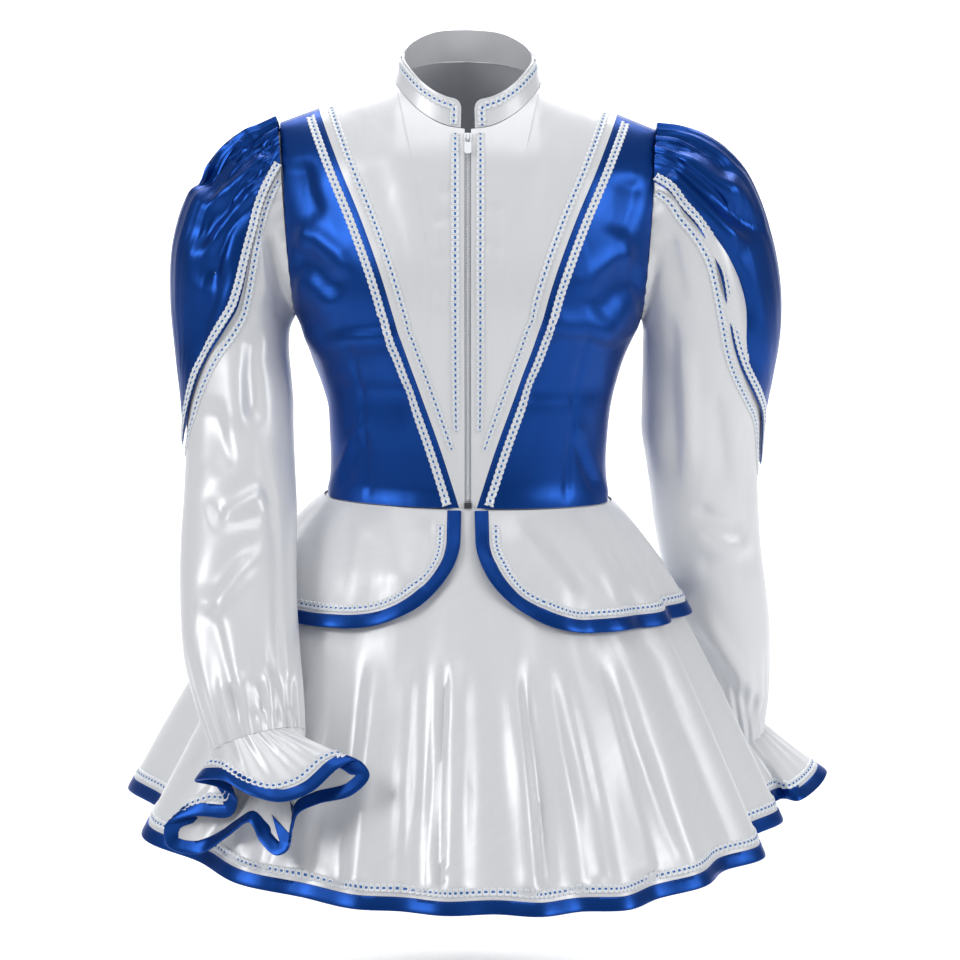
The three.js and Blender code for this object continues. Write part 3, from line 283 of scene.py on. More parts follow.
def cloth(name, surface, u, v, material, thick=SATIN, closed=False):
    """A piece of cloth: the surface at a grid of (u, v), and the same grid a thickness further in."""
    outer = surface(u, v)
    inner = outer - normals(surface, u, v) * thick
    rows, columns = u.shape
    flat_u, flat_v, areas[name] = measure(outer, closed)
    flats[name] = float(flat_u[:, -1].max()), float(flat_v[-1].max())
    i, j = cells(columns, rows, closed)

    def corner(layer, a, b):
        """Number of the point in column a and row b, on the outer (0) or the inner (1) layer."""
        return layer * rows * columns + b * columns + a % columns

    faces = [corner(0, i, j), corner(1, i, j)[:, ::-1]]
    places = [(i, j), (i[:, ::-1], j[:, ::-1])]
    a = i[: columns if closed else columns - 1, :2]
    for row, outward in ((0, False), (rows - 1, True)):
        b = np.full_like(a, row)
        rim = np.concatenate([corner(1, a, b), corner(0, a, b)[:, ::-1]], axis=1)
        faces.append(rim[:, ::-1] if outward else rim)
        place = np.concatenate([a, a[:, ::-1]], axis=1)
        places.append((place[:, ::-1] if outward else place, np.full_like(place, row)))
    if not closed:
        b = np.arange(rows - 1)[:, None] + np.array([0, 1])
        for column, outward in ((0, True), (columns - 1, False)):
            c = np.full_like(b, column)
            rim = np.concatenate([corner(1, c, b), corner(0, c, b)[:, ::-1]], axis=1)
            faces.append(rim[:, ::-1] if outward else rim)
            place = np.concatenate([b, b[:, ::-1]], axis=1)
            places.append((np.full_like(place, column), place[:, ::-1] if outward else place))
    places_i = np.concatenate([place[0] for place in places])
    places_j = np.concatenate([place[1] for place in places])
    uv = np.stack([flat_u[places_j, places_i], flat_v[places_j, places_i]], axis=-1)
    points = np.concatenate([outer.reshape(-1, 3), inner.reshape(-1, 3)])
    piece = make_mesh(name, points, np.concatenate(faces), uv, material)
    print(f"{name}: {2 * sum(len(f) for f in faces)} triangles, {areas[name] / 1e6:.3f} m2 of cloth")
    return piece


# %% [markdown]
# ## Trim along a line
#
# Braid and binding follow a line on the cloth at a fixed distance from it. Because the cloth is a function,
# that distance can be exact: at each point of the line the step that goes one millimetre sideways is worked
# out from the two directions of the surface. The cross-section is then carried along the line.

# %% Carrying a cross-section along a line on the cloth
SKEWED = 0.08  # square of the sine between the surface's directions below which they count as one


def lay(surface, path, closed, spacing):
    """Even places along a line of (u, v) points, and the (u, v) step that goes 1 mm to its side on the cloth.
    Where the two directions of the surface nearly agree, the step goes along v alone."""
    line = np.concatenate([path, path[:1] + closed]) if np.any(closed) else path
    points = surface(line[:, 0], line[:, 1])
    lengths = np.concatenate([[0], np.cumsum(np.linalg.norm(np.diff(points, axis=0), axis=1))])
    count = max(3, int(round(lengths[-1] / spacing)))
    s = np.linspace(0, lengths[-1], count + 1)
    place = np.stack([np.interp(s, lengths, line[:, k]) for k in (0, 1)], axis=1)
    u, v = place[:, 0], place[:, 1]
    du = (surface(u + STEP, v) - surface(u - STEP, v)) / (2 * STEP)
    dv = (surface(u, v + STEP) - surface(u, v - STEP)) / (2 * STEP)
    out = np.cross(du, dv) * surface.turned
    out /= np.linalg.norm(out, axis=1, keepdims=True)
    here = surface(u, v)
    ahead = np.gradient(here, axis=0)
    if np.any(closed):
        ahead[0] = ahead[-1] = here[1] - here[-2]
    ahead /= np.linalg.norm(ahead, axis=1, keepdims=True)
    aside = np.cross(out, ahead)
    a, b, c = (np.sum(x * y, axis=1) for x, y in ((du, du), (du, dv), (dv, dv)))
    p, q = np.sum(du * aside, axis=1), np.sum(dv * aside, axis=1)
    whole = a * c - b * b
    skewed = whole < SKEWED * a * c
    whole = np.where(skewed, 1, whole)
    sideways = np.stack([np.where(skewed, 0, (p * c - q * b) / whole),
                         np.where(skewed, np.sign(q) / np.sqrt(c), (q * a - p * b) / whole)], axis=1)
    return s, place, sideways


def band(name, surface, path, section, material, closed=False, side=1, spacing=1.0, limit=None, sharp=40):
    """A closed cross-section of (distance aside, height) pairs carried along a line. section(s, length) gives
    both arrays. `closed` is the step in (u, v) that leads once round, or False for an open line."""
    s, place, sideways = lay(surface, path, closed, spacing)
    aside, high = section(s[:, None], s[-1])
    u = place[:, :1] + side * aside * sideways[:, :1]
    v = place[:, 1:] + side * aside * sideways[:, 1:]
    if limit:
        u, v = limit(u, v, place[:, :1], place[:, 1:])
    points = surface(u, v) + normals(surface, u, v) * (high + 0 * u)[..., None]
    around = np.concatenate([[0], np.cumsum(np.hypot(np.diff(aside[0]), np.diff(high[0])))])
    if np.any(closed):
        points = points[:-1]
    rows, columns = points.shape[:2]
    i, j = cells(columns, rows + 1 if np.any(closed) else rows)
    last = np.stack([np.full(rows if np.any(closed) else rows - 1, columns - 1)] * 4, axis=1)
    wrap_j = np.arange(len(last))[:, None] + np.array([0, 0, 1, 1])
    wrap_i = last + np.array([0, 1, 1, 0])
    i, j = np.concatenate([i, wrap_i]), np.concatenate([j, wrap_j])
    quads = (j % rows) * columns + i % columns
    width = np.concatenate([aside[0], aside[0][:1]]) - (aside[0].min() + aside[0].max()) / 2
    uv = np.stack([s[j], width[i]], axis=-1)
    if not np.any(closed):
        k = np.arange(columns // 2 - 1)[:, None]
        end = np.concatenate([k, columns - 1 - k, columns - 2 - k, k + 1], axis=1)
        quads = np.concatenate([quads, end, (rows - 1) * columns + end[:, ::-1]])
        uv = np.concatenate([uv, np.stack([0 * end + 0.0, width[end]], axis=-1),
                             np.stack([0 * end + s[-1], width[end[:, ::-1]]], axis=-1)])
    piece = make_mesh(name, points.reshape(-1, 3), quads, uv, material, sharp)
    print(f"{name}: {s[-1]:.0f} mm long, {2 * len(quads)} triangles, {around[-1]:.0f} mm round")
    return piece


print("trim can be laid")

# %% [markdown]
# ## Braid, binding and stitches
#
# The braid is a gimp, two cords looped round each other, with a blue thread that shows as a dot in every
# loop. Its edge is scalloped by the loops. The binding is a bias strip of blue satin folded over the raw
# edge, so that it shows on both sides of the cloth. Stitches are short raised threads, one for each time the
# needle came up.

# %% Cross-sections of the trim
LOOP = 5.5  # length of one loop of the braid
BRAID_WIDE = 8.2
BIND_WIDE = 12.0
BRAID_ACROSS = np.array([-1, -0.92, -0.68, -0.36, 0, 0.36, 0.68, 0.92, 1, 1, 0, -1])  # of half the width
BRAID_TOP = np.array([0, 1, 1, 1, 1, 1, 1, 1, 0, 0, 0, 0])  # 1 for a point on the cord's upper side
CORD = {"flat": 0.55, "ridge": 0.85, "at": 0.76, "wide": 0.22, "under": 0.15, "edge": 0.5, "sunk": 0.1}


def braid_section(start):
    """Braid from `start` mm aside, a chain of rings: half its width is sqrt(1 - (x / r)^2) of the radius r
    at a distance x from the ring's middle, and the cord is a ridge at three quarters of the radius."""
    def section(s, whole):
        """Distances aside and heights at the length s, with a whole number of loops in the length `whole`."""
        loop = whole / round(whole / LOOP)
        x = (s / loop - np.round(s / loop)) * loop
        radius = BRAID_WIDE / 2
        half = radius * np.sqrt(1 - (0.98 * x / radius) ** 2)
        ring = np.hypot(x, half * BRAID_ACROSS) / radius
        cord = np.exp(-(((ring - CORD["at"]) / CORD["wide"]) ** 2))
        seam = 1 - 0.45 * np.exp(-(((np.abs(x) - loop / 2) / 0.7) ** 2))
        high = BRAID_TOP * (CORD["flat"] + CORD["ridge"] * cord * seam) + (1 - BRAID_TOP) * CORD["under"]
        rim = np.where(np.arange(len(BRAID_TOP)) < 9, CORD["edge"], CORD["sunk"])
        return start + radius + half * BRAID_ACROSS, np.where(np.abs(BRAID_ACROSS) == 1, rim, high) + 0 * s
    return section


def binding_section(thick, wide=BIND_WIDE):
    """A strip folded over an edge: down the outside, round the edge and back inside a cloth `thick`."""
    low = -thick
    strip = np.array([
        (wide, 0.15), (wide - 0.5, 0.75), (wide * 0.7, 1.0), (wide * 0.35, 1.1), (0.8, 1.05), (-0.5, 0.6),
        (-0.9, low / 2), (-0.5, low - 0.5), (0.8, low - 0.9), (wide * 0.35, low - 0.9),
        (wide * 0.7, low - 0.85), (wide - 0.5, low - 0.65), (wide, low - 0.15), (wide, low - 0.05),
        (0.2, low - 0.05), (0.2, 0.05),
        (wide, 0.05), (wide, 0.1)])
    aside, high = strip.T

    def section(s, whole):
        """The strip at the length s, pulled in and out a little by its sewing, whatever its whole length."""
        pull = 0.25 * np.sin(s / 9) * np.sin(s / 31 + 1)
        return aside + 0 * s, high + pull * (np.abs(high - low / 2) > abs(low) / 2 + 0.5)
    return section


def stitches(name, surface, path, aside, material, closed=False, side=1, pitch=3.4, long=2.3, lift=0.25):
    """A row of threads along a line: a spindle of four sides, copied to each stitch in its direction."""
    s, place, sideways = lay(surface, path, closed, pitch)
    u = place[:, 0] + side * aside * sideways[:, 0]
    v = place[:, 1] + side * aside * sideways[:, 1]
    here, out = surface(u, v), normals(surface, u, v)
    ahead = np.gradient(here, axis=0)
    ahead /= np.maximum(np.linalg.norm(ahead, axis=1, keepdims=True), 1e-9)
    across = np.cross(out, ahead)
    turn = np.arange(4) * np.pi / 2 + np.pi / 4
    rings = np.array([(-0.5, 0.04), (-0.34, 0.24), (0.34, 0.24), (0.5, 0.04)])
    a = np.repeat(rings[:, 0] * long, 4)
    b = (rings[:, 1:] * np.cos(turn)).ravel()
    c = (rings[:, 1:] * np.sin(turn)).ravel() + lift
    points = (here[:, None] + ahead[:, None] * a[:, None] + across[:, None] * b[:, None]
              + out[:, None] * c[:, None])
    i, j = cells(4, 4, True)
    spindle = np.concatenate([(j * 4 + i % 4), [[3, 2, 1, 0], [12, 13, 14, 15]]])
    quads = (np.arange(len(here))[:, None, None] * 16 + spindle).reshape(-1, 4)
    uv = np.zeros((len(quads), 4, 2))
    print(f"{name}: {len(here)} stitches")
    return make_mesh(name, points.reshape(-1, 3), quads, uv, material)


print("one loop of braid is", LOOP, "mm")

# %% [markdown]
# ## Finishes
#
# Satin is a weave of long floats: its threads lie side by side for many crossings, so the face is smooth and
# shiny and only a fine lengthwise grain is left. White satin is a light, slightly blue cloth with broad soft
# highlights. In blue satin the highlight takes the cloth's own colour, which a part of metal in the shader
# gives. The grain and the small unevenness that hanging cloth has are node groups that every satin uses.

# %% Node groups
def group(name, inputs, outputs):
    """An empty shader node group with named sockets, and its two end nodes."""
    tree = bpy.data.node_groups.new(name, "ShaderNodeTree")
    for title, kind, value in inputs:
        socket = tree.interface.new_socket(name=title, in_out="INPUT", socket_type=kind)
        if value is not None:
            socket.default_value = value
    for title, kind in outputs:
        tree.interface.new_socket(name=title, in_out="OUTPUT", socket_type=kind)
    return tree, tree.nodes.new("NodeGroupInput"), tree.nodes.new("NodeGroupOutput")


def node(tree, kind, settings=None, **values):
    """A node with its settings, its values and its links: a value that is a socket is linked."""
    made = tree.nodes.new(kind)
    for key, value in (settings or {}).items():
        setattr(made, key, value)
    for key, value in values.items():
        numbered = key[0] == "_" and key[1:].isdigit()
        socket = made.inputs[int(key[1:])] if numbered else made.inputs[key.replace("_", " ")]
        if isinstance(value, bpy.types.NodeSocket):
            tree.links.new(value, socket)
        else:
            socket.default_value = value
    return made


def math_node(tree, operation, a, b=0.0):
    """One arithmetic step on one or two values."""
    return node(tree, "ShaderNodeMath", {"operation": operation}, _0=a, _1=b).outputs[0]


def span(mapped, low, high):
    """Sets the two ends of the values that a map-range node reads."""
    mapped.inputs["From Min"].default_value, mapped.inputs["From Max"].default_value = low, high


grain, start, end = group(
    "satin_grain",
    [("Floats", "NodeSocketFloat", 1.0), ("Slubs", "NodeSocketFloat", 1.0)],
    [("Height", "NodeSocketFloat"), ("Shade", "NodeSocketFloat")])
uv = node(grain, "ShaderNodeUVMap", {"uv_map": "cloth"})
floats = node(grain, "ShaderNodeMapping", {}, Vector=uv.outputs[0], Scale=(2600, 260, 1))
float_noise = node(grain, "ShaderNodeTexNoise", {}, Vector=floats.outputs[0], Scale=1.0, Detail=1.0)
slubs = node(grain, "ShaderNodeMapping", {}, Vector=uv.outputs[0], Scale=(90, 12, 1))
slub_noise = node(grain, "ShaderNodeTexNoise", {}, Vector=slubs.outputs[0], Scale=1.0, Detail=3.0)
fine = math_node(grain, "MULTIPLY", float_noise.outputs[0], start.outputs["Floats"])
coarse = math_node(grain, "MULTIPLY", slub_noise.outputs[0], start.outputs["Slubs"])
grain.links.new(math_node(grain, "ADD", fine, coarse), end.inputs["Height"])
grain.links.new(slub_noise.outputs[0], end.inputs["Shade"])

rumple, start, end = group(
    "rumple",
    [("Size", "NodeSocketFloat", 22.0), ("Stretch", "NodeSocketFloat", 0.35)],
    [("Height", "NodeSocketFloat")])
place = node(rumple, "ShaderNodeTexCoord")
squeeze = node(rumple, "ShaderNodeCombineXYZ", {}, X=1.0, Y=1.0)
rumple.links.new(start.outputs["Stretch"], squeeze.inputs["Z"])
longer = node(rumple, "ShaderNodeVectorMath", {"operation": "MULTIPLY"}, _0=place.outputs["Object"],
              _1=squeeze.outputs[0])
soft = node(rumple, "ShaderNodeTexNoise", {}, Vector=longer.outputs[0], Scale=start.outputs["Size"],
            Detail=2.0, Roughness=0.45, Distortion=0.6)
rumple.links.new(soft.outputs[0], end.inputs["Height"])
print("groups:", grain.name, rumple.name)

# %% Satin, white and blue
def satin(name, color, shade, rough, metal):
    """Satin: its colour varies a little with the slubs, its bump is the grain over soft unevenness."""
    material = bpy.data.materials.new(name)
    material.use_nodes = True
    tree = material.node_tree
    shader = tree.nodes["Principled BSDF"]
    weave = node(tree, "ShaderNodeGroup", {"node_tree": grain}, Floats=0.5, Slubs=1.0)
    waves = node(tree, "ShaderNodeGroup", {"node_tree": rumple}, Size=24.0, Stretch=0.4)
    tint = node(tree, "ShaderNodeMixRGB", {}, Fac=weave.outputs["Shade"], Color1=(*color, 1),
                Color2=(*shade, 1))
    soft = node(tree, "ShaderNodeBump", {}, Strength=0.3, Distance=0.004, Height=waves.outputs["Height"])
    bump = node(tree, "ShaderNodeBump", {}, Strength=0.10, Distance=0.0002,
                Height=weave.outputs["Height"], Normal=soft.outputs[0])
    gloss = node(tree, "ShaderNodeMapRange", {}, Value=weave.outputs["Shade"])
    gloss.inputs["To Min"].default_value = rough - 0.04
    gloss.inputs["To Max"].default_value = rough + 0.05
    tree.links.new(tint.outputs[0], shader.inputs["Base Color"])
    tree.links.new(bump.outputs[0], shader.inputs["Normal"])
    tree.links.new(gloss.outputs[0], shader.inputs["Roughness"])
    shader.inputs["Metallic"].default_value = metal
    return material


def two_satins(name, one, other, low, high):
    """One satin inside a V and the other outside: `low` and `high` are (half width, height) in metres."""
    material = one.copy()
    material.name = name
    tree = material.node_tree
    shader = tree.nodes["Principled BSDF"]
    place = node(tree, "ShaderNodeTexCoord")
    parts = node(tree, "ShaderNodeSeparateXYZ", {}, Vector=place.outputs["Object"])
    half = node(tree, "ShaderNodeMapRange", {"clamp": False}, Value=parts.outputs["Z"])
    span(half, low[1], high[1])
    half.inputs["To Min"].default_value, half.inputs["To Max"].default_value = low[0], high[0]
    outside = math_node(tree, "SUBTRACT", math_node(tree, "ABSOLUTE", parts.outputs["X"]), half.outputs[0])
    mask = node(tree, "ShaderNodeMapRange", {}, Value=outside)
    span(mask, -0.0002, 0.0002)
    inner = shader.inputs["Base Color"].links[0].from_socket
    blue = other.node_tree.nodes["Principled BSDF"]
    tint = blue.inputs["Base Color"].links[0].from_node
    weave = [item for item in tree.nodes if item.type == "GROUP" and item.node_tree == grain][0]
    outer = node(tree, "ShaderNodeMixRGB", {}, Fac=weave.outputs["Shade"],
                 Color1=tuple(tint.inputs["Color1"].default_value),
                 Color2=tuple(tint.inputs["Color2"].default_value))
    color = node(tree, "ShaderNodeMixRGB", {}, Fac=mask.outputs[0], Color1=inner, Color2=outer.outputs[0])
    metal = math_node(tree, "MULTIPLY", mask.outputs[0], blue.inputs["Metallic"].default_value)
    tree.links.new(color.outputs[0], shader.inputs["Base Color"])
    tree.links.new(metal, shader.inputs["Metallic"])
    return material


WHITE = satin("satin_white", (0.745, 0.755, 0.775), (0.70, 0.712, 0.74), 0.34, 0.12)
BLUE = satin("satin_blue", (0.001, 0.055, 0.31), (0.001, 0.045, 0.25), 0.36, 0.75)
BACK = two_satins("satin_back", WHITE, BLUE, (0.008, -0.371), (0.138, -0.012))
print("satin:", WHITE.name, BLUE.name, BACK.name)

# %% [markdown]
# The braid is a shiny silvery cord with a blue dot in each loop, and painted shade darkens the cord in the
# grooves between loops. Dot and shade are painted from the piece's own UV map, which counts metres along the
# braid and across it, so that they stay in their loop whatever way the braid turns.

# %% Braid, thread, zip and floor
def plain(name, color, rough, metal=0.0, size=300.0, depth=0.0003, spread=0.06):
    """A finish with fine noise in its colour and its bump."""
    material = bpy.data.materials.new(name)
    material.use_nodes = True
    tree = material.node_tree
    shader = tree.nodes["Principled BSDF"]
    place = node(tree, "ShaderNodeTexCoord")
    noise = node(tree, "ShaderNodeTexNoise", {}, Vector=place.outputs["Object"], Scale=size, Detail=3.0)
    darker = tuple(value * (1 - spread) for value in color)
    tint = node(tree, "ShaderNodeMixRGB", {}, Fac=noise.outputs[0], Color1=(*darker, 1), Color2=(*color, 1))
    bump = node(tree, "ShaderNodeBump", {}, Strength=0.3, Distance=depth, Height=noise.outputs[0])
    tree.links.new(tint.outputs[0], shader.inputs["Base Color"])
    tree.links.new(bump.outputs[0], shader.inputs["Normal"])
    shader.inputs["Roughness"].default_value = rough
    shader.inputs["Metallic"].default_value = metal
    return material


def braid_finish(name, cord, dot):
    """Cord colour with painted shade darkening the grooves between loops, and a dot in the middle of each
    loop.
    """
    material = plain(name, cord, 0.42, 0.1, 900.0, 0.0004, 0.12)
    tree = material.node_tree
    shader = tree.nodes["Principled BSDF"]
    uv = node(tree, "ShaderNodeUVMap", {"uv_map": "cloth"})
    parts = node(tree, "ShaderNodeSeparateXYZ", {}, Vector=uv.outputs[0])
    turn = math_node(tree, "MULTIPLY", parts.outputs[0], 2000 * np.pi / LOOP)
    along_loop = math_node(tree, "COSINE", turn)
    near = node(tree, "ShaderNodeMapRange", {"interpolation_type": "SMOOTHSTEP"}, Value=along_loop)
    span(near, -0.15, 0.25)
    across = math_node(tree, "ABSOLUTE", math_node(tree, "MULTIPLY", parts.outputs[1], 2000 / BRAID_WIDE))
    # painted shade: the cord's colour is darkened in the grooves between loops, where shade falls
    groove_shade = node(tree, "ShaderNodeMapRange", {"interpolation_type": "SMOOTHSTEP"}, Value=along_loop)
    span(groove_shade, -0.75, -1.0)
    middle = node(tree, "ShaderNodeMapRange", {"interpolation_type": "SMOOTHSTEP"}, Value=across)
    span(middle, 0.30, 0.18)
    mask = math_node(tree, "MULTIPLY", near.outputs[0], middle.outputs[0])
    under = shader.inputs["Base Color"].links[0].from_socket
    shaded = node(tree, "ShaderNodeMixRGB", {}, Fac=groove_shade.outputs[0], Color1=under,
                  Color2=(*(value * 0.74 for value in cord), 1))
    color = node(tree, "ShaderNodeMixRGB", {}, Fac=mask, Color1=shaded.outputs[0], Color2=(*dot, 1))
    tree.links.new(color.outputs[0], shader.inputs["Base Color"])
    return material


BRAID = braid_finish("braid_gimp", (0.80, 0.83, 0.87), (0.004, 0.12, 0.42))
THREAD = plain("thread_white", (0.74, 0.77, 0.82), 0.5)
BLUE_THREAD = plain("thread_blue", (0.005, 0.07, 0.34), 0.45)
TAPE = plain("zip_tape_weave", (0.74, 0.76, 0.79), 0.75, 0.0, 1400.0, 0.0004)
ENAMEL = plain("zip_enamel", (0.66, 0.68, 0.71), 0.28, 0.3, 120.0, 0.0001)
STEEL = plain("zip_dark_steel", (0.10, 0.11, 0.125), 0.35, 0.9, 200.0, 0.0001)
FLOOR = plain("pale_floor", (0.88, 0.885, 0.89), 0.8, 0.0, 6.0, 0.0002, 0.02)
print("trim finishes ready")

# %% [markdown]
# ## The bodice
#
# A fitted bodice is drafted from heights: at the waist, under the bust, at the bust and at the armhole, half
# the width and the depth to front and back. Between them the body is a rounded oval. The yoke's seam runs
# from the shoulder to a point at the waist, as a straight line on the body, and the armholes are cut
# straight down at the sides.

# %% The figure inside the dress
LEAN = 0.02
WAIST = -371
FIGURE = [  # height, half width, depth to the front, depth to the back
    (-385, 132, 94, 93), (-371, 130.5, 92, 91), (-338, 129, 92, 90), (-315, 130, 93, 91), (-285, 133, 97, 93),
    (-258, 139, 101, 96), (-230, 148, 106, 100), (-201, 161, 110, 104), (-175, 171, 111, 108),
    (-140, 180, 108, 112), (-100, 184, 99, 112), (-60, 184, 87, 106), (-28, 184, 76, 94),
    (15, 184, 66, 80), (40, 184, 60, 74)]
YOKE_SEAM = [  # height, half width of the yoke
    (-371, 8), (-318, 25), (-267, 43), (-216, 61), (-157, 79), (-109, 97), (-65, 116), (-12, 138)]
NECK_HALF, YOKE_END, SEAM = 67, 138, 0.1
ARMHOLE = {"top_x": 174, "top_z": -27.5, "pit_x": 161, "pit_z": -201}
SHOULDER = {"neck_x": 64, "neck_z": 16, "slope": 0.385, "round": 75}
BACK_NECK_RISE = 47  # the neck's back stands this much above the shoulder line
BUST = {"x": 74, "z": -168, "out": 9, "wide": 58}
COLLAR = [  # degrees from the front, height of the seam, rise
    (0, -28, 25), (20, -24, 25), (40, -13, 24), (65, 4, 23), (90, 14.6, 22.5), (120, 24, 26),
    (150, 31, 29), (180, 33, 29.5)]


def lean(surface):
    """The whole dress hangs a little lower on the wearer's left."""
    def result(u, v):
        """The surface's points, lowered in proportion to x."""
        points = surface(u, v)
        points[..., 2] -= LEAN * points[..., 0]
        return points
    result.turned = getattr(surface, "turned", 1)
    return result


def shoulder_line(x):
    """Height of the shoulder seam: level at the neck, then a straight slope."""
    return SHOULDER["neck_z"] - np.maximum(0, np.abs(x) - SHOULDER["neck_x"]) * SHOULDER["slope"]


def figure(angle, z):
    """Rounded oval at height z, its depth fading to nothing at the shoulder line like a quarter circle."""
    front = np.cos(angle) > 0
    x = along(FIGURE, z, 1) * np.sin(angle)
    neck = np.where(front, 0, BACK_NECK_RISE * np.maximum(0, 1 - (x / NECK_HALF) ** 2))
    below = np.clip((shoulder_line(x) + neck - z) / SHOULDER["round"], 0, 1)
    rounding = np.sqrt(1 - (1 - below) ** 2)
    deep = np.where(front, along(FIGURE, z, 2), along(FIGURE, z, 3)) * np.abs(np.cos(angle)) ** 0.8 * rounding
    bust = BUST["out"] * np.exp(-((np.abs(x) - BUST["x"]) ** 2 + (z - BUST["z"]) ** 2) / BUST["wide"] ** 2)
    return points_of(x, np.where(front, -deep - bust * np.minimum(1, deep / 40), deep), z)


def angle_at(x, z):
    """Angle from the front centre of the point at half width x."""
    return np.arcsin(np.clip(x / along(FIGURE, z, 1), -1, 1))


def armhole_x(z):
    """The armhole runs straight from the shoulder's end to under the arm."""
    share = (ARMHOLE["top_z"] - z) / (ARMHOLE["top_z"] - ARMHOLE["pit_z"])
    return mix(ARMHOLE["top_x"], ARMHOLE["pit_x"], np.clip(share, 0, 1))


def outer_angle(z):
    """The bodice's outer edge: the armhole above, the side seam below it."""
    return np.where(z > ARMHOLE["pit_z"], angle_at(armhole_x(z), z), np.pi / 2)


def neck_point(degrees):
    """Half width and height of the neck seam."""
    return NECK_HALF * np.sin(np.radians(degrees)), along(COLLAR, degrees, 1)


BODY_INSIDE = (0, 0, -230)
print("waist", 2 * along(FIGURE, WAIST, 1), "mm wide")

# %% Yoke, side front and back as functions
ZIP_HALF = 2.9
NECK_SHARE, BACK_NECK_SHARE, FIRST_TURN = 0.6, 0.38, 2.5


def yoke(side):
    """u from the zip to the seam, v from neck and shoulder to the waist. Rows are straight between ends."""
    zip_top, seam_top = neck_point(FIRST_TURN)[1], shoulder_line(YOKE_END)

    def seam_x(z):
        """Half width of the yoke at a height."""
        return along(YOKE_SEAM, z, 1) - SEAM / 2

    def ruled(s, z0, z1):
        """Angle and height on the straight line from the zip at z0 to the seam at z1."""
        return mix(angle_at(ZIP_HALF, z0), angle_at(seam_x(z1), z1), s), mix(z0, z1, s)

    def surface(u, v):
        """The straight rows, with what they miss of the neck and shoulder added in full at the top."""
        neck_x, neck_z = neck_point(mix(FIRST_TURN, 90, np.minimum(u / NECK_SHARE, 1)))
        shoulder_x = mix(NECK_HALF, seam_x(seam_top), (u - NECK_SHARE) / (1 - NECK_SHARE))
        top_x = np.where(u < NECK_SHARE, neck_x, shoulder_x)
        top_z = np.where(u < NECK_SHARE, neck_z, shoulder_line(shoulder_x))
        top_angle, top_level = ruled(u, zip_top, seam_top)
        angle, z = ruled(u, mix(zip_top, WAIST, v), mix(seam_top, WAIST, v))
        angle = angle + (1 - v) * (angle_at(top_x, top_z) - top_angle)
        p = figure(angle, z + (1 - v) * (top_z - top_level))
        return points_of(side * p[..., 0], p[..., 1] - SEAM / 2, p[..., 2])
    return facing(surface, 0.5, 0.5, BODY_INSIDE)


def side_front(side):
    """u from the yoke's seam to the armhole and side seam, v from the shoulder to the waist."""
    seam_top = shoulder_line(YOKE_END)

    def surface(u, v):
        """Rows from seam to armhole, with what they miss of the shoulder added in full at the top."""
        seam_x = along(YOKE_SEAM, seam_top, 1) + SEAM / 2
        top_x = mix(seam_x, ARMHOLE["top_x"], u)

        def ruled(seam_z, outer_z):
            """Angle on the row from the seam at one height to the outer edge at another."""
            seam_angle = angle_at(along(YOKE_SEAM, seam_z, 1) + SEAM / 2, seam_z)
            return mix(seam_angle, outer_angle(outer_z), u)
        top_angle = angle_at(top_x, shoulder_line(top_x))
        angle = ruled(mix(seam_top, WAIST, v), mix(ARMHOLE["top_z"], WAIST, v))
        angle = angle + np.maximum(0, 1 - 3 * v) * (top_angle - ruled(seam_top, ARMHOLE["top_z"]))
        p = figure(angle, mix(shoulder_line(top_x), WAIST, v))
        return points_of(side * p[..., 0], p[..., 1] - SEAM / 2, p[..., 2])
    return facing(surface, 0.5, 0.5, BODY_INSIDE)


def back_panel(u, v):
    """u from the wearer's right side to the left, v from neck and shoulder to the waist."""
    across = u * 2 - 1
    reach = np.abs(across)
    neck_x, neck_z = neck_point(180 - 90 * np.clip(reach / BACK_NECK_SHARE, 0, 1))
    shoulder_x = mix(NECK_HALF, ARMHOLE["top_x"], (reach - BACK_NECK_SHARE) / (1 - BACK_NECK_SHARE))
    top_x = np.where(reach < BACK_NECK_SHARE, neck_x, shoulder_x)
    top_z = np.where(reach < BACK_NECK_SHARE, neck_z, shoulder_line(shoulder_x))
    outer_z = mix(ARMHOLE["top_z"], WAIST, v)
    top_turn = angle_at(top_x, top_z) / angle_at(ARMHOLE["top_x"], ARMHOLE["top_z"])
    turn = mix(top_turn, reach, np.minimum(1, v * 3))
    p = figure(np.pi - turn * outer_angle(outer_z), mix(top_z, WAIST, v))
    return points_of(np.where(across < 0, -1, 1) * p[..., 0], p[..., 1] + SEAM / 2, p[..., 2])


facing(back_panel, 0.5, 0.5, BODY_INSIDE)

# %% [markdown]
# The folds of the bodice are the ones a fitted satin dress has: a dart from the waist up to the bust on each
# blue front, drag lines from under the arm towards the bust, and small puckers where the zip was sewn in.
# The edges of the cloth lie on rows and columns of the tables that hold the finished surfaces, so that the
# seams stay shut.

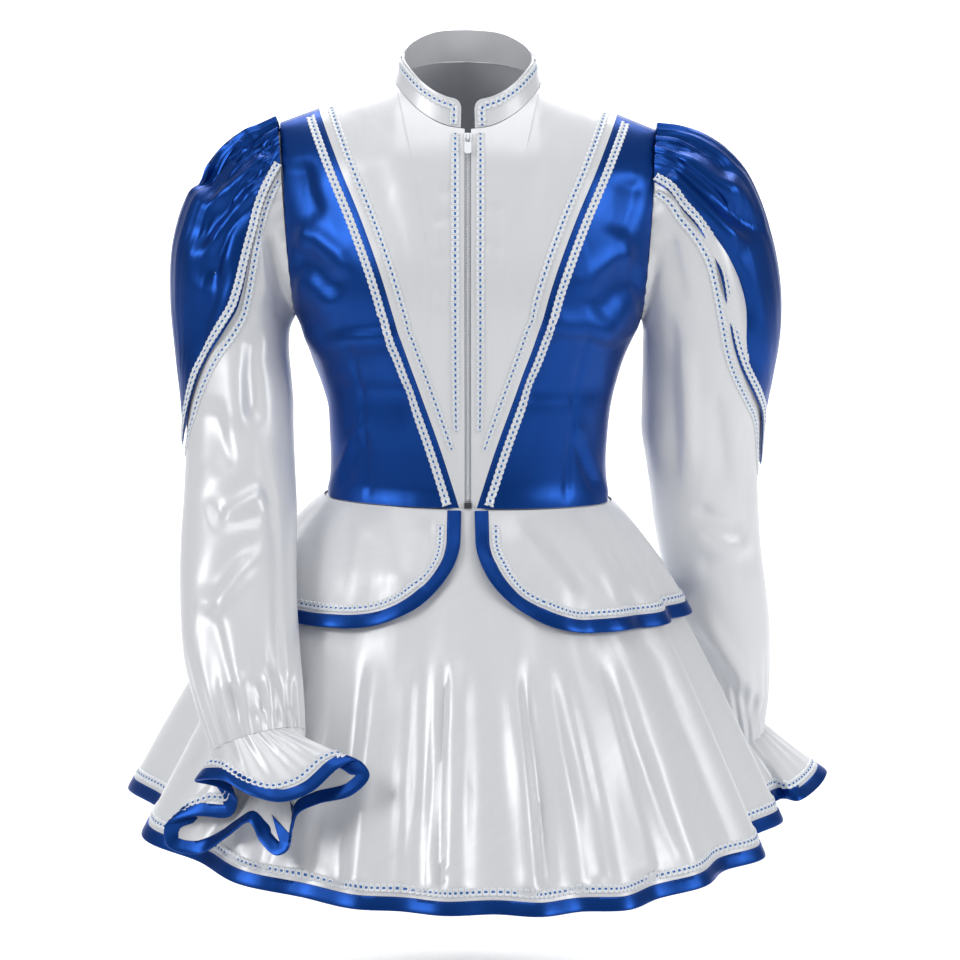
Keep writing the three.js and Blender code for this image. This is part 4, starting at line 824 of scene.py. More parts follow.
# %% Folds of the bodice
BODICE_FOLDS = [
    {"wide": 2.4, "high": -1.8, "start": 0.3, "end": 0.05,
     "line": [(-111, -205), (-109, -226), (-104, -258), (-99, -291), (-92, -376)]},
    {"wide": 11, "high": 5, "start": 0.2, "end": 0.1,
     "line": [(-162, -212), (-133, -232), (-109, -226), (-62, -222)]},
    {"wide": 16, "high": -4.5, "start": 0.2, "end": 0.2,
     "line": [(-137, -268), (-116, -275), (-90, -278), (-45, -280)]},
    {"wide": 10, "high": 4, "start": 0.05, "end": 0.05,
     "line": [(-133, -375), (-92, -379), (-45, -381), (-12, -384)]},
    {"wide": 5, "high": 2.6, "start": 0.05, "end": 0.3,
     "line": [(-133, -372), (-120, -348), (-105, -315), (-94, -287)]},
    {"wide": 6, "high": -2.8, "start": 0.1, "end": 0.3, "line": [(-120, -365), (-109, -338), (-101, -310)]},
    {"wide": 14, "high": 3.6, "start": 0.2, "end": 0.25,
     "line": [(-165, -128), (-141, -132), (-122, -147), (-109, -173)]},
    {"wide": 14, "high": -3.6, "start": 0.2, "end": 0.25,
     "line": [(-167, -150), (-149, -152), (-132, -165), (-115, -184)]},
    {"wide": 13, "high": 3.2, "start": 0.2, "end": 0.25,
     "line": [(-165, -173), (-149, -175), (-133, -190), (-120, -205)]},
    {"wide": 14, "high": -3.6, "start": 0.25, "end": 0.25, "line": [(-156, -56), (-150, -89), (-137, -120)]},
    {"wide": 2.4, "high": -1.7, "start": 0.3, "end": 0.05,
     "line": [(111, -205), (109, -226), (104, -258), (99, -291), (92, -376)]},
    {"wide": 11, "high": 4.6, "start": 0.2, "end": 0.1,
     "line": [(164, -200), (135, -221), (111, -214), (64, -211)]},
    {"wide": 16, "high": -4.1, "start": 0.2, "end": 0.2,
     "line": [(136, -262), (115, -270), (89, -273), (44, -274)]},
    {"wide": 10, "high": 3.7, "start": 0.05, "end": 0.05,
     "line": [(133, -375), (91, -379), (44, -381), (11, -384)]},
    {"wide": 5, "high": 2.4, "start": 0.05, "end": 0.3,
     "line": [(134, -372), (121, -352), (106, -319), (95, -290)]},
    {"wide": 6, "high": -2.6, "start": 0.1, "end": 0.3, "line": [(119, -365), (108, -336), (100, -307)]},
    {"wide": 14, "high": 3.3, "start": 0.2, "end": 0.25,
     "line": [(161, -141), (136, -145), (118, -160), (104, -186)]},
    {"wide": 14, "high": -3.3, "start": 0.2, "end": 0.25,
     "line": [(168, -169), (149, -171), (133, -184), (116, -203)]},
    {"wide": 13, "high": 2.9, "start": 0.2, "end": 0.25,
     "line": [(163, -194), (146, -196), (131, -211), (118, -226)]},
    {"wide": 14, "high": -3.3, "start": 0.25, "end": 0.25, "line": [(157, -66), (151, -99), (138, -130)]},
    {"wide": 5, "high": -1.5, "line": [(-12, -85), (-21, -89), (-30, -90)]},
    {"wide": 5, "high": -1.7, "line": [(-12, -111), (-24, -114), (-36, -117)]},
    {"wide": 5, "high": -1.5, "line": [(-12, -145), (-25, -149), (-38, -152)]},
    {"wide": 5, "high": -1.4, "line": [(-11, -188), (-23, -193), (-36, -196)]},
    {"wide": 5, "high": -1.4, "line": [(12, -99), (23, -102), (35, -103)]},
    {"wide": 5, "high": -1.5, "line": [(12, -132), (24, -136), (36, -139)]},
    {"wide": 5, "high": -1.4, "line": [(12, -171), (23, -176), (32, -180)]},
    {"wide": 20, "high": 1.2, "line": [(-69, -28), (-55, -94), (-26, -188)]},
    {"wide": 18, "high": -1.2, "line": [(-90, -47), (-73, -108), (-40, -207)]},
    {"wide": 20, "high": 1.2, "line": [(68, -28), (54, -94), (30, -188)]},
    {"wide": 18, "high": -1.2, "line": [(91, -47), (73, -108), (44, -207)]},
]
SQUARE = (-0.04, 1.04)
fronts = {}
for side, name in ((1, "left"), (-1, "right")):
    panels = (lean(folded(panel(side), BODICE_FOLDS)) for panel in (yoke, side_front))
    fronts[name] = tuple(baked(panel, SQUARE, SQUARE, (136, 217)) for panel in panels)
back = baked(lean(folded(back_panel, BODICE_FOLDS[1:9])), SQUARE, SQUARE, (163, 163))


def grid(us, vs):
    """Every u with every v."""
    return np.meshgrid(us, vs)


def rows_from_shoulder(count):
    """Rows that crowd at the shoulder, where the cloth turns over it."""
    return np.linspace(0, 1, count) ** 1.7


for name, (white, blue) in fronts.items():
    us = np.unique(np.concatenate([np.linspace(0, NECK_SHARE, 40), np.linspace(NECK_SHARE, 1, 18)]))
    cloth(f"yoke_{name}", white, *grid(us, rows_from_shoulder(100)), WHITE)
    cloth(f"side_{name}", blue, *grid(np.linspace(0, 1, 48), rows_from_shoulder(100)), BLUE)
us = np.linspace(0, 1, 111)
cloth("bodice_back", back, *grid(us, rows_from_shoulder(100)), BACK)

# %% [markdown]
# ## The collar
#
# A standing collar is a strip that follows the neck seam and leans in a little. Its front corners are
# rounded.

# %% Collar
COLLAR_FROM, COLLAR_CORNER, COLLAR_DROP = 5.6, 6.5, 7
COLLAR_THICK = 2.0
DRAWN_IN, ABOVE_SEAM = 0.09, 0.5
EVENED = {"reach": 8, "wide": 3.5}  # steps of 2 degrees


def neck_line():
    """The neck seam every 2 degrees once round. Each point is the mean of its neighbours, where the one n
    steps away has the weight exp(-(n / wide)^2)."""
    degrees = np.arange(0, 360, 2.0)
    half = np.where(degrees > 180, 360 - degrees, degrees)
    seam_x, seam_z = neck_point(half)
    behind = half > 90
    z = np.minimum(seam_z, shoulder_line(seam_x) + np.where(behind, BACK_NECK_RISE, 0))
    angle = angle_at(seam_x, z)
    line = figure(np.where(behind, np.pi - angle, angle), z) * points_of(np.where(degrees > 180, -1, 1), 1, 1)
    steps = np.arange(-EVENED["reach"], EVENED["reach"] + 1)
    shares = np.exp(-((steps / EVENED["wide"]) ** 2))
    shares /= shares.sum()
    return sum(share * np.roll(line, step, axis=0) for share, step in zip(shares, steps))


NECK_LINE = neck_line()


def collar_wall(degrees, high):
    """The neck seam's point at this angle, raised by a height and drawn in by a share at the top."""
    half = np.where(degrees > 180, 360 - degrees, degrees)
    place = (degrees % 360) / 2
    first = np.floor(place).astype(int)
    t = (place - first)[..., None]
    base = NECK_LINE[first % 180] * (1 - t) + NECK_LINE[(first + 1) % 180] * t
    narrow = 1 - DRAWN_IN * high / along(COLLAR, half, 2)
    return points_of(base[..., 0] * narrow, base[..., 1] * narrow, base[..., 2] + ABOVE_SEAM + high)


facing(collar_wall, 90, 10, (0, 0, 10))
collar_up = baked(lean(collar_wall), (1, 359), (-4, 36), (120, 10))


def collar(degrees, t):
    """The wall up to its edge at t = 1, which drops at the two front corners like a quarter circle."""
    half = np.where(degrees > 180, 360 - degrees, degrees)
    corner = np.clip((COLLAR_FROM + COLLAR_CORNER - half) / COLLAR_CORNER, 0, 1)
    return collar_up(degrees, t * (along(COLLAR, half, 2) - COLLAR_DROP * (1 - np.sqrt(1 - corner**2))))


collar.turned = collar_up.turned
turn = (1 - np.cos(np.linspace(0, np.pi, 181))) / 2
degrees = COLLAR_FROM + (360 - 2 * COLLAR_FROM) * (0.5 * turn + 0.5 * np.linspace(0, 1, 181))
cloth("collar_band", collar, *grid(degrees, np.linspace(0, 1, 14)), WHITE, COLLAR_THICK)

# %% [markdown]
# ## Sleeves and caps
#
# A sleeve is a tube whose rings start on the armhole and slide down the arm. Every ring is an ellipse
# between two ends measured on the front view, and a smooth curve through the rings at each angle makes the
# tube. The blue cap lies on its upper part and comes down to a point outside the elbow. It is gathered into
# the armhole, so it stands up in small ridges there and has a few deep folds below. Under the cap the sleeve
# is drawn in, so that the folds stay clear of it.

# %% Sleeve
SLEEVE = {  # outer end x, z, inner end x, z, front to back, half depth
    "right": [
        (203, -36, 162, -204, 0, 53), (225, -50, 164, -208, 0, 56), (245, -73, 166, -214, 0, 59),
        (261, -99, 167, -222, -1, 61), (272, -138, 167, -236, -3, 61), (274, -184, 165, -258, -6, 59),
        (271, -225, 163, -282, -14, 56), (264, -275, 162, -308, -28, 52), (261, -312, 160, -337, -44, 48),
        (261, -358, 157, -372, -70, 45), (262, -405, 156, -411, -100, 43), (260, -450, 154, -452, -132, 41),
        (255, -495, 150, -491, -160, 38), (242, -536, 147, -523, -181, 34), (225, -576, 145, -554, -200, 28)],
    "left": [
        (196, -32, 162, -207, 0, 53), (217, -38, 163, -213, 0, 56), (238, -51, 164, -219, 0, 59),
        (258, -74, 164, -228, 2, 61), (276, -117, 164, -242, 5, 61), (287, -166, 164, -264, 10, 60),
        (289, -212, 164, -288, 17, 58), (284, -254, 164, -314, 24, 54), (278, -294, 168, -340, 32, 51),
        (275, -341, 173, -372, 40, 49), (277, -383, 177, -402, 49, 48), (281, -428, 184, -438, 60, 47),
        (288, -474, 193, -481, 72, 46), (293, -515, 206, -525, 84, 45), (293, -567, 224, -577, 98, 42),
        (289, -613, 243, -623, 108, 38)]}


SLEEVE_GAP = 0.3
GATHERS = {"wrist": 22, "wrist_high": 1.5, "armhole": 30, "armhole_high": 0.8}  # how many, how high
UNDER_CAP = 7.5  # how far the sleeve is drawn in
CAP = {"lift": 3.2, "ridges": 13, "high": 4.2, "fine": 31, "fine_high": 1.0, "fade": 2.4}


def armhole_point(side, turn):
    """The armhole as a closed line: down the front, under the arm and up the back."""
    middle = (ARMHOLE["top_z"] + ARMHOLE["pit_z"]) / 2
    z = middle + (ARMHOLE["top_z"] - middle) * np.cos(turn)
    x = armhole_x(z)
    angle = np.where(np.sin(turn) >= 0, angle_at(x, z), np.pi - angle_at(x, z))
    y = figure(angle, z)[..., 1] * np.minimum(1, np.abs(np.sin(turn)) * 6)
    return points_of(side * (x + SLEEVE_GAP), y, z)


def sleeve_surface(side, name):
    """u is the angle round the arm from its top over the front, v the ring's number. A Catmull-Rom curve
    joins the rings."""
    table = np.array(SLEEVE[name], float)
    count = len(table)
    outer = np.stack([side * table[:, 0], table[:, 4], table[:, 1] + LEAN * side * table[:, 0]], axis=1)
    inner = np.stack([side * table[:, 2], table[:, 4], table[:, 3] + LEAN * side * table[:, 2]], axis=1)
    centre = (outer + inner) / 2
    half = (outer - inner) / 2
    ahead = np.array([centre[min(i + 1, count - 1)] - centre[max(i - 1, 0)] for i in range(count)])
    deep = np.cross(ahead, half)
    deep /= np.linalg.norm(deep, axis=1, keepdims=True)
    deep *= -np.sign(deep[:, 1:2])

    def ring(index, turn):
        """Points of an elliptic ring at an angle."""
        return ((outer + inner)[index] / 2 + half[index] * np.cos(turn)[..., None]
                + deep[index] * (np.sin(turn) * table[index, 5])[..., None])

    def surface(turn, v):
        """A cubic between two rings, whose slope at a ring is half the step between the rings beside it."""
        turn, v = np.broadcast_arrays(turn, v)
        i = np.clip(np.floor(v).astype(int), 0, count - 1)
        t = (v - i)[..., None]

        def at(k):
            """Ring k, where the armhole is ring 0."""
            arm = ring(np.clip(k - 1, 0, count - 1), turn)
            return np.where((k <= 0)[..., None], armhole_point(side, turn), arm)
        p1, p2 = at(i), at(i + 1)
        p0 = np.where((i == 0)[..., None], 2 * p1 - p2, at(i - 1))
        p3 = np.where((i == count - 1)[..., None], 2 * p2 - p1, at(np.minimum(i + 2, count)))
        a, b = (p2 - p0) / 2, (p3 - p1) / 2
        return (2 * p1 - 2 * p2 + a + b) * t**3 + (-3 * p1 + 3 * p2 - 2 * a - b) * t**2 + a * t + p1
    return facing(surface, 0, 5, (side * 215, 0, -260))


CAP_EDGE = {  # ring, angle of the cap's edge from the top of the arm
    "right": [(0, 56), (1, 74), (2, 88), (3.5, 96), (5, 96), (6, 83), (7, 65), (8, 37), (9.1, 6)],
    "left": [(0, 62), (1, 68), (2, 75), (4, 81), (6, 81), (7, 72), (8, 53), (9, 28), (10.1, 6)]}


def cap_edge(name, ring):
    """Angle of the edge at a ring, carried on in a straight line past the table's ends."""
    table = np.array(CAP_EDGE[name], float)
    slope = (table[-1, 1] - table[-2, 1]) / (table[-1, 0] - table[-2, 0])
    return np.radians(along(table, ring, 1) + np.maximum(ring - table[-1, 0], 0) * slope)


SLEEVE_FOLDS = [
    {"wide": 5, "high": -2.2, "start": 0.1, "end": 0.1,
     "line": [(-201, -320), (-193, -348), (-186, -376), (-181, -423), (-180, -470), (-179, -526),
              (-179, -590)]},
    {"wide": 11.2, "high": -6, "line": [(-190, -355), (-214, -374), (-248, -397)]},
    {"wide": 8.8, "high": -5, "line": [(-190, -393), (-219, -399), (-248, -399)]},
    {"wide": 11.2, "high": 4, "line": [(-186, -374), (-214, -385), (-239, -396)]},
    {"wide": 11.2, "high": -5, "line": [(-192, -409), (-222, -438), (-252, -481)]},
    {"wide": 11.2, "high": 4, "line": [(-194, -429), (-222, -459), (-246, -498)]},
    {"wide": 7.5, "high": -3, "line": [(-226, -555), (-220, -570), (-216, -590)]},
    {"wide": 7.5, "high": 3, "line": [(-214, -541), (-209, -564), (-205, -590)]},
    {"wide": 6.2, "high": -3.5, "line": [(-203, -549), (-197, -570), (-194, -590)]},
    {"wide": 7.5, "high": 3, "line": [(-190, -538), (-184, -564), (-180, -590)]},
    {"wide": 6.2, "high": -3, "line": [(-169, -545), (-168, -568), (-167, -588)]},
    {"wide": 8.8, "high": -5, "line": [(-184, -118), (-180, -152), (-171, -199)]},
    {"wide": 10, "high": 4, "line": [(-194, -128), (-191, -160), (-184, -199)]},
    {"wide": 10, "high": -5, "line": [(-196, -212), (-202, -246), (-197, -312)]},
    {"wide": 11.2, "high": 3.5, "line": [(-211, -226), (-216, -263), (-214, -320)]},
    {"wide": 12.5, "high": -4, "line": [(-241, -282), (-233, -320), (-222, -357)]},
    {"wide": 12.5, "high": -4, "line": [(-246, -470), (-237, -517), (-229, -564)]},
    {"wide": 8.8, "high": -4.5, "line": [(188, -188), (192, -226), (194, -282), (196, -376)]},
    {"wide": 11.2, "high": 4, "line": [(203, -207), (207, -282), (209, -357)]},
    {"wide": 11.2, "high": -5, "line": [(205, -481), (232, -526), (278, -587)]},
    {"wide": 11.2, "high": 4, "line": [(218, -470), (244, -517), (282, -570)]},
    {"wide": 10, "high": -5, "line": [(209, -376), (232, -390), (267, -397)]},
    {"wide": 10, "high": 4, "line": [(207, -395), (233, -412), (271, -421)]},
    {"wide": 10, "high": -4, "line": [(211, -432), (239, -432), (274, -421)]},
    {"wide": 8.8, "high": -4.5, "line": [(186, -113), (192, -143), (203, -188)]},
    {"wide": 6.2, "high": -3, "line": [(263, -538), (272, -564), (278, -585)]},
    {"wide": 11.2, "high": -4, "line": [(229, -263), (239, -320), (246, -367)]},
]
CAP_FOLDS = [
    {"wide": 9.9, "high": -8.1, "start": 0.15, "line": [(-181, -43), (-205, -61), (-231, -81), (-252, -102)]},
    {"wide": 8.8, "high": 6.2, "start": 0.15, "line": [(-184, -56), (-214, -79), (-243, -107)]},
    {"wide": 9.9, "high": -8.1, "start": 0.15,
     "line": [(-182, -64), (-211, -90), (-241, -120), (-261, -152)]},
    {"wide": 8.8, "high": 5.6, "line": [(-188, -77), (-216, -107), (-246, -152)]},
    {"wide": 11, "high": -6.2, "line": [(-199, -94), (-227, -128), (-248, -188)]},
    {"wide": 8.8, "high": 5, "line": [(-190, -36), (-218, -43), (-246, -62)]},
    {"wide": 9.9, "high": -6.2, "line": [(-194, -47), (-227, -56), (-259, -90)]},
    {"wide": 13.2, "high": -5, "line": [(-226, -150), (-246, -207), (-258, -263)]},
    {"wide": 9.9, "high": -8.1, "start": 0.15, "line": [(180, -47), (218, -75), (256, -103), (286, -128)]},
    {"wide": 8.8, "high": 6.2, "start": 0.15, "line": [(183, -61), (218, -94), (263, -135)]},
    {"wide": 9.9, "high": -8.1, "start": 0.15, "line": [(186, -73), (218, -113), (252, -165), (278, -220)]},
    {"wide": 8.8, "high": 5.6, "line": [(196, -81), (224, -132), (258, -199)]},
    {"wide": 9.9, "high": -6.2, "line": [(184, -36), (218, -45), (254, -68)]},
    {"wide": 8.8, "high": 5, "line": [(188, -43), (222, -58), (261, -90)]},
    {"wide": 13.2, "high": -5, "line": [(241, -152), (261, -207), (276, -267)]},
]


def sleeve_cloth(base, name, rings):
    """The sleeve's folds, the small gathers at the wrist, and the drawing in under the cap."""
    loose = baked(folded(base, SLEEVE_FOLDS), (-3.3, 3.3), (-0.3, rings + 0.3), (300, 330), 2 * np.pi)

    def lift(turn, ring):
        """Gathers at the wrist and at the armhole, less the drawing in where the cap lies on top."""
        around = (turn + np.pi) % (2 * np.pi) - np.pi
        inside = smooth(0.12, 0.45, cap_edge(name, ring) - np.abs(around))
        wrist = GATHERS["wrist_high"] * np.cos(GATHERS["wrist"] * turn + 1.5 * np.sin(3 * turn))
        armhole = GATHERS["armhole_high"] * np.cos(GATHERS["armhole"] * turn + np.sin(5 * turn))
        return (wrist * smooth(rings - 2.2, rings - 0.2, ring) + armhole * smooth(1.0, 0.1, ring)
                - UNDER_CAP * inside)
    return raised(loose, lift)


def cap_cloth(base, name):
    """The cap over the sleeve: uneven gathers that fade down the arm, then its own large folds."""
    def lift(turn, ring):
        """Coarse and fine ridges across the cap, which fade down the arm and towards the cap's edge."""
        edge = cap_edge(name, ring)
        inner = smooth(0.13, 0.30, 1 - np.abs(turn) / edge)
        fade = np.exp(-ring / CAP["fade"]) * smooth(0, 0.12, ring + 0.08)
        ridges = 0.5 + 0.5 * np.cos(CAP["ridges"] * np.pi * turn / edge + 1.6 * np.sin(4 * turn))
        fine = 0.5 + 0.5 * np.cos(CAP["fine"] * np.pi * turn / edge)
        uneven = 0.8 + 0.2 * np.sin(5 * turn + 1)
        return CAP["lift"] + inner * fade * (CAP["high"] * ridges * uneven + CAP["fine_high"] * fine)
    loose = baked(raised(base, lift), (-1.95, 1.95), (-0.25, CAP_EDGE[name][-1][0] + 0.7), (460, 260))
    return folded(loose, CAP_FOLDS)


arms = {}
for side, name in ((1, "left"), (-1, "right")):
    base = sleeve_surface(side, name)
    rings = len(SLEEVE[name])
    base = baked(base, (-3.3, 3.3), (-0.3, rings + 0.3), (160, 240), 2 * np.pi)
    sleeve = lean(sleeve_cloth(base, name, rings))
    sleeve = baked(sleeve, (-3.3, 3.3), (-0.2, rings + 0.2), (420, 330), 2 * np.pi)
    tip = CAP_EDGE[name][-1][0]
    cap = baked(lean(cap_cloth(base, name)), (-1.9, 1.9), (-0.2, tip + 0.6), (460, 260))
    arms[name] = base, sleeve, cap, rings
    around = np.linspace(0, 2 * np.pi, 133)[:-1]
    down = np.concatenate([np.linspace(0.02, 1, 12)[:-1], np.linspace(1, rings, 118)])
    cloth(f"sleeve_long_{name}", sleeve, *grid(around, down), WHITE, closed=True)
    down = np.concatenate([np.linspace(0.03, 1, 14)[:-1], np.linspace(1, tip, 74)])
    share, ring = grid(np.linspace(-1, 1, 121), down)
    cloth(f"cap_{name}", cap, share * cap_edge(name, ring), ring, BLUE)

# %% [markdown]
# ## The skirt
#
# A flared skirt falls in flutes: its hem is longer than the circle it would like to hang in, so it waves out
# and in. The table gives the hem as seen from above, one row for each ridge and hollow. Between the waist
# seam and the hem every line goes out at first and then more and more down. Sharper folds are drawn over the
# flutes.

# %% Skirt
HEM = [  # degrees from the front, reach out from the middle, height
    (-196, 250, -673), (-180, 240, -672), (-164, 250, -673), (-146, 246, -672), (-125, 290, -670),
    (-109, 286, -666), (-94, 326, -662), (-80, 294, -667), (-67, 322, -676), (-54, 299, -684),
    (-42, 303, -691), (-31, 284, -697),
    (-20, 290, -699), (-12, 280, -700), (-4, 287, -700), (5, 279, -700), (13, 287, -701), (21, 278, -701),
    (29, 291, -700), (37, 281, -697), (46, 293, -691), (56, 280, -688), (66, 297, -684), (76, 272, -679),
    (86, 298, -672), (98, 258, -668), (108, 246, -668), (119, 226, -669), (133, 244, -671), (149, 230, -672),
    (164, 250, -673), (180, 240, -672), (196, 250, -673)]
FLARE = {"sides": 0.8, "more_in_front": 0.2}
SKIRT_INSIDE = (0, 0, -520)
SKIRT_FOLDS = [
    {"wide": 5, "high": -4.5, "skew": 0.5, "start": 0.15, "end": 0.02,
     "line": [(-20, -522), (-24, -602), (-26, -677), (-28, -757)]},
    {"wide": 14, "high": 4.5, "end": 0.02, "line": [(-6, -517), (-6, -602), (-7, -677), (-8, -757)]},
    {"wide": 8, "high": 4.5, "end": 0.02, "line": [(-53, -519), (-56, -583), (-60, -658), (-64, -757)]},
    {"wide": 9, "high": -4, "end": 0.02, "line": [(-39, -519), (-41, -602), (-44, -677), (-45, -757)]},
    {"wide": 9, "high": -6, "end": 0.02, "line": [(-100, -519), (-109, -602), (-120, -677), (-126, -752)]},
    {"wide": 9, "high": 4.5, "end": 0.02, "line": [(-85, -522), (-92, -602), (-100, -686), (-105, -754)]},
    {"wide": 9, "high": 5, "end": 0.02, "line": [(41, -519), (49, -602), (57, -677), (62, -754)]},
    {"wide": 7, "high": -5.5, "end": 0.02, "line": [(55, -522), (63, -602), (73, -677), (79, -752)]},
    {"wide": 9, "high": 5, "end": 0.02, "line": [(72, -519), (86, -602), (100, -677), (109, -750)]},
    {"wide": 9, "high": -6, "end": 0.02, "line": [(86, -517), (105, -602), (122, -677), (133, -743)]},
    {"wide": 10, "high": 5, "end": 0.02, "line": [(117, -515), (139, -602), (162, -686), (173, -735)]},
    {"wide": 8, "high": -5, "end": 0.02, "line": [(133, -513), (162, -602), (188, -677), (209, -726)]},
    {"wide": 9, "high": 4, "end": 0.02, "line": [(162, -509), (192, -592), (220, -658), (241, -705)]},
    {"wide": 9, "high": 5, "end": 0.02, "line": [(-130, -522), (-141, -602), (-152, -686), (-158, -743)]},
    {"wide": 8, "high": -5, "end": 0.02, "line": [(-153, -519), (-172, -602), (-188, -677), (-199, -738)]},
    {"wide": 9, "high": 4.5, "end": 0.02, "line": [(-175, -564), (-200, -639), (-222, -724)]},
    {"wide": 8, "high": -4.5, "end": 0.02, "line": [(-194, -592), (-228, -649), (-259, -716)]},
]


def hem_at(angle):
    """Reach and height of the hem at an angle, the table read once round."""
    at = (np.degrees(angle) + 540) % 360 - 180
    return along(HEM, at, 1), along(HEM, at, 2)


def skirt_base(angle, down):
    """Even steps in height from waist to hem, and out by down^power, where the power is less at the sides."""
    reach, hem_z = hem_at(angle)
    turn = (angle + 3 * np.pi) % (2 * np.pi) - np.pi
    bent = np.where(np.abs(turn) > np.pi / 2, np.pi - np.abs(turn), np.abs(turn))
    waist = figure(np.where(np.abs(turn) > np.pi / 2, np.pi - bent, bent), WAIST + 0 * turn)
    power = FLARE["sides"] + FLARE["more_in_front"] * np.maximum(0, np.cos(turn))
    flare = np.maximum(down, 1e-9) ** power
    x = mix(np.where(turn < 0, -1, 1) * waist[..., 0], reach * np.sin(turn), flare)
    y = mix(waist[..., 1], -reach * np.cos(turn), flare)
    return points_of(x, y, mix(WAIST - 0.4, hem_z, down))


facing(skirt_base, 0, 0.5, SKIRT_INSIDE)
skirt = baked(lean(folded(skirt_base, SKIRT_FOLDS)), (-3.3, 3.3), (-0.06, 1.06), (800, 120), 2 * np.pi)
skirt_around = np.linspace(-np.pi, np.pi, 361)[:-1]
cloth("skirt_cloth", skirt, *grid(skirt_around, np.linspace(0, 1, 60) ** 1.15), WHITE, closed=True)

# %% [markdown]
# ## The peplum
#
# A peplum is a short overskirt set into the waist seam. It parts at the front, and its lower corners are
# rounded. It follows the skirt's own shape, lifted off it a little more towards its edge. The outline is a
# rounded corner of the kind (1 - t^p)^(1/p), counted in millimetres from the front edge.

# %% Peplum
PEPLUM = {"front": 8, "straight": 28, "corner": 92, "deep": 108, "power": 1.8, "turned": 100}
PEPLUM_LIFT = {"waist": 2.2, "more": 4.5, "over": 60, "wave": 1.2, "small_wave": 0.8}
radius = float(np.hypot(*skirt_base(np.zeros(1), np.full(1, 0.33))[0, :2]))


def under_peplum(angle, depth):
    """The skirt measured by depth below the waist."""
    return skirt_base(angle, depth / (WAIST - hem_at(angle)[1]))


facing(under_peplum, 0, 50, SKIRT_INSIDE)


def peplum_lift(angle, depth):
    """Off the skirt, and slow waves along the hem that fade towards the waist."""
    clear = PEPLUM_LIFT["waist"] + PEPLUM_LIFT["more"] * np.clip(depth / PEPLUM_LIFT["over"], 0, 1)
    waves = PEPLUM_LIFT["wave"] * np.sin(9 * angle + 1) + PEPLUM_LIFT["small_wave"] * np.sin(17 * angle)
    return clear + smooth(5, 100, depth) * waves


PEPLUM_FOLDS = [
    {"wide": 22, "high": 2.6, "line": [(-83, -376), (-71, -423), (-62, -470)]},
    {"wide": 9, "high": -2.4, "line": [(-109, -384), (-116, -432), (-122, -491)]},
    {"wide": 9, "high": 2.2, "line": [(-125, -385), (-137, -432), (-147, -487)]},
    {"wide": 9, "high": -2.2, "line": [(-36, -390), (-38, -423), (-45, -466)]},
    {"wide": 18, "high": 2.8, "line": [(33, -389), (68, -432), (115, -481)]},
    {"wide": 9, "high": -2.4, "line": [(53, -385), (92, -429), (143, -481)]},
    {"wide": 10, "high": 2.0, "line": [(86, -381), (128, -429), (173, -476)]},
    {"wide": 9, "high": -2.2, "line": [(21, -404), (36, -442), (64, -481)]},
]
raised_peplum = raised(under_peplum, peplum_lift)
peplum = baked(lean(folded(raised_peplum, PEPLUM_FOLDS)), (-0.3, 2 * np.pi + 0.3), (-4, 122), (900, 90))


def peplum_angle(distance):
    """Angle of the line that lies a distance behind the front edge."""
    return (PEPLUM["front"] + distance) / radius


def peplum_depth(distance, inside):
    """Depth of the outline, or of a line inside it, at a distance from the front edge."""
    high = PEPLUM["deep"] - PEPLUM["straight"] - inside
    share = np.clip((PEPLUM["corner"] - distance) / (PEPLUM["corner"] - inside), 0, 1)
    return PEPLUM["straight"] + high * (1 - share ** PEPLUM["power"]) ** (1 / PEPLUM["power"])


def corner_places(count):
    """Distances from the front edge that crowd where the corner starts."""
    return PEPLUM["turned"] * np.linspace(0, 1, count) ** 2.4


corner_steps = corner_places(44)
turned = peplum_angle(PEPLUM["turned"])
angles = np.concatenate([peplum_angle(corner_steps), np.linspace(turned, 2 * np.pi - turned, 212)[1:-1],
                         2 * np.pi - peplum_angle(corner_steps[::-1])])
depths = np.concatenate([peplum_depth(corner_steps, 0), np.full(210, PEPLUM["deep"]),
                         peplum_depth(corner_steps[::-1], 0)])
angle_grid, share = grid(angles, np.linspace(0, 1, 28))
cloth("peplum_cloth", peplum, angle_grid, mix(2.0, depths, share), WHITE)

# %% [markdown]
# ## Wrist frills
#
# A frill that stands in deep waves is cut as a full circle, and only its inner edge fits the wrist. Its
# outer edge is a closed smooth line through the middle of each ridge and hollow, and straight lines join it
# to the wrist.

# %% Frills
FRILL_EDGE = {
    "right": [
        (-240, -220, -596), (-214, -245, -589), (-189, -262, -598), (-161, -268, -603), (-135, -262, -595),
        (-113, -252, -577), (-97, -244, -572), (-86, -246, -585), (-101, -247, -602), (-131, -243, -611),
        (-149, -240, -621), (-154, -245, -636), (-157, -252, -650), (-167, -251, -655), (-181, -240, -646),
        (-192, -228, -631), (-214, -216, -648), (-240, -205, -665), (-267, -197, -660), (-268, -197, -640),
        (-242, -204, -631), (-210, -211, -629), (-205, -211, -615), (-220, -213, -603)],
    "left": [
        (352, 108, -660), (342, 80, -668), (318, 50, -676), (306, 60, -676), (291, 36, -674), (268, 48, -675),
        (262, 76, -682), (243, 92, -684), (249, 116, -688), (236, 142, -686), (256, 162, -684),
        (274, 156, -686),
        (290, 182, -680), (314, 178, -674), (318, 152, -672), (342, 142, -664)]}
FRILL_START = {"right": 0.055, "left": 0.0}


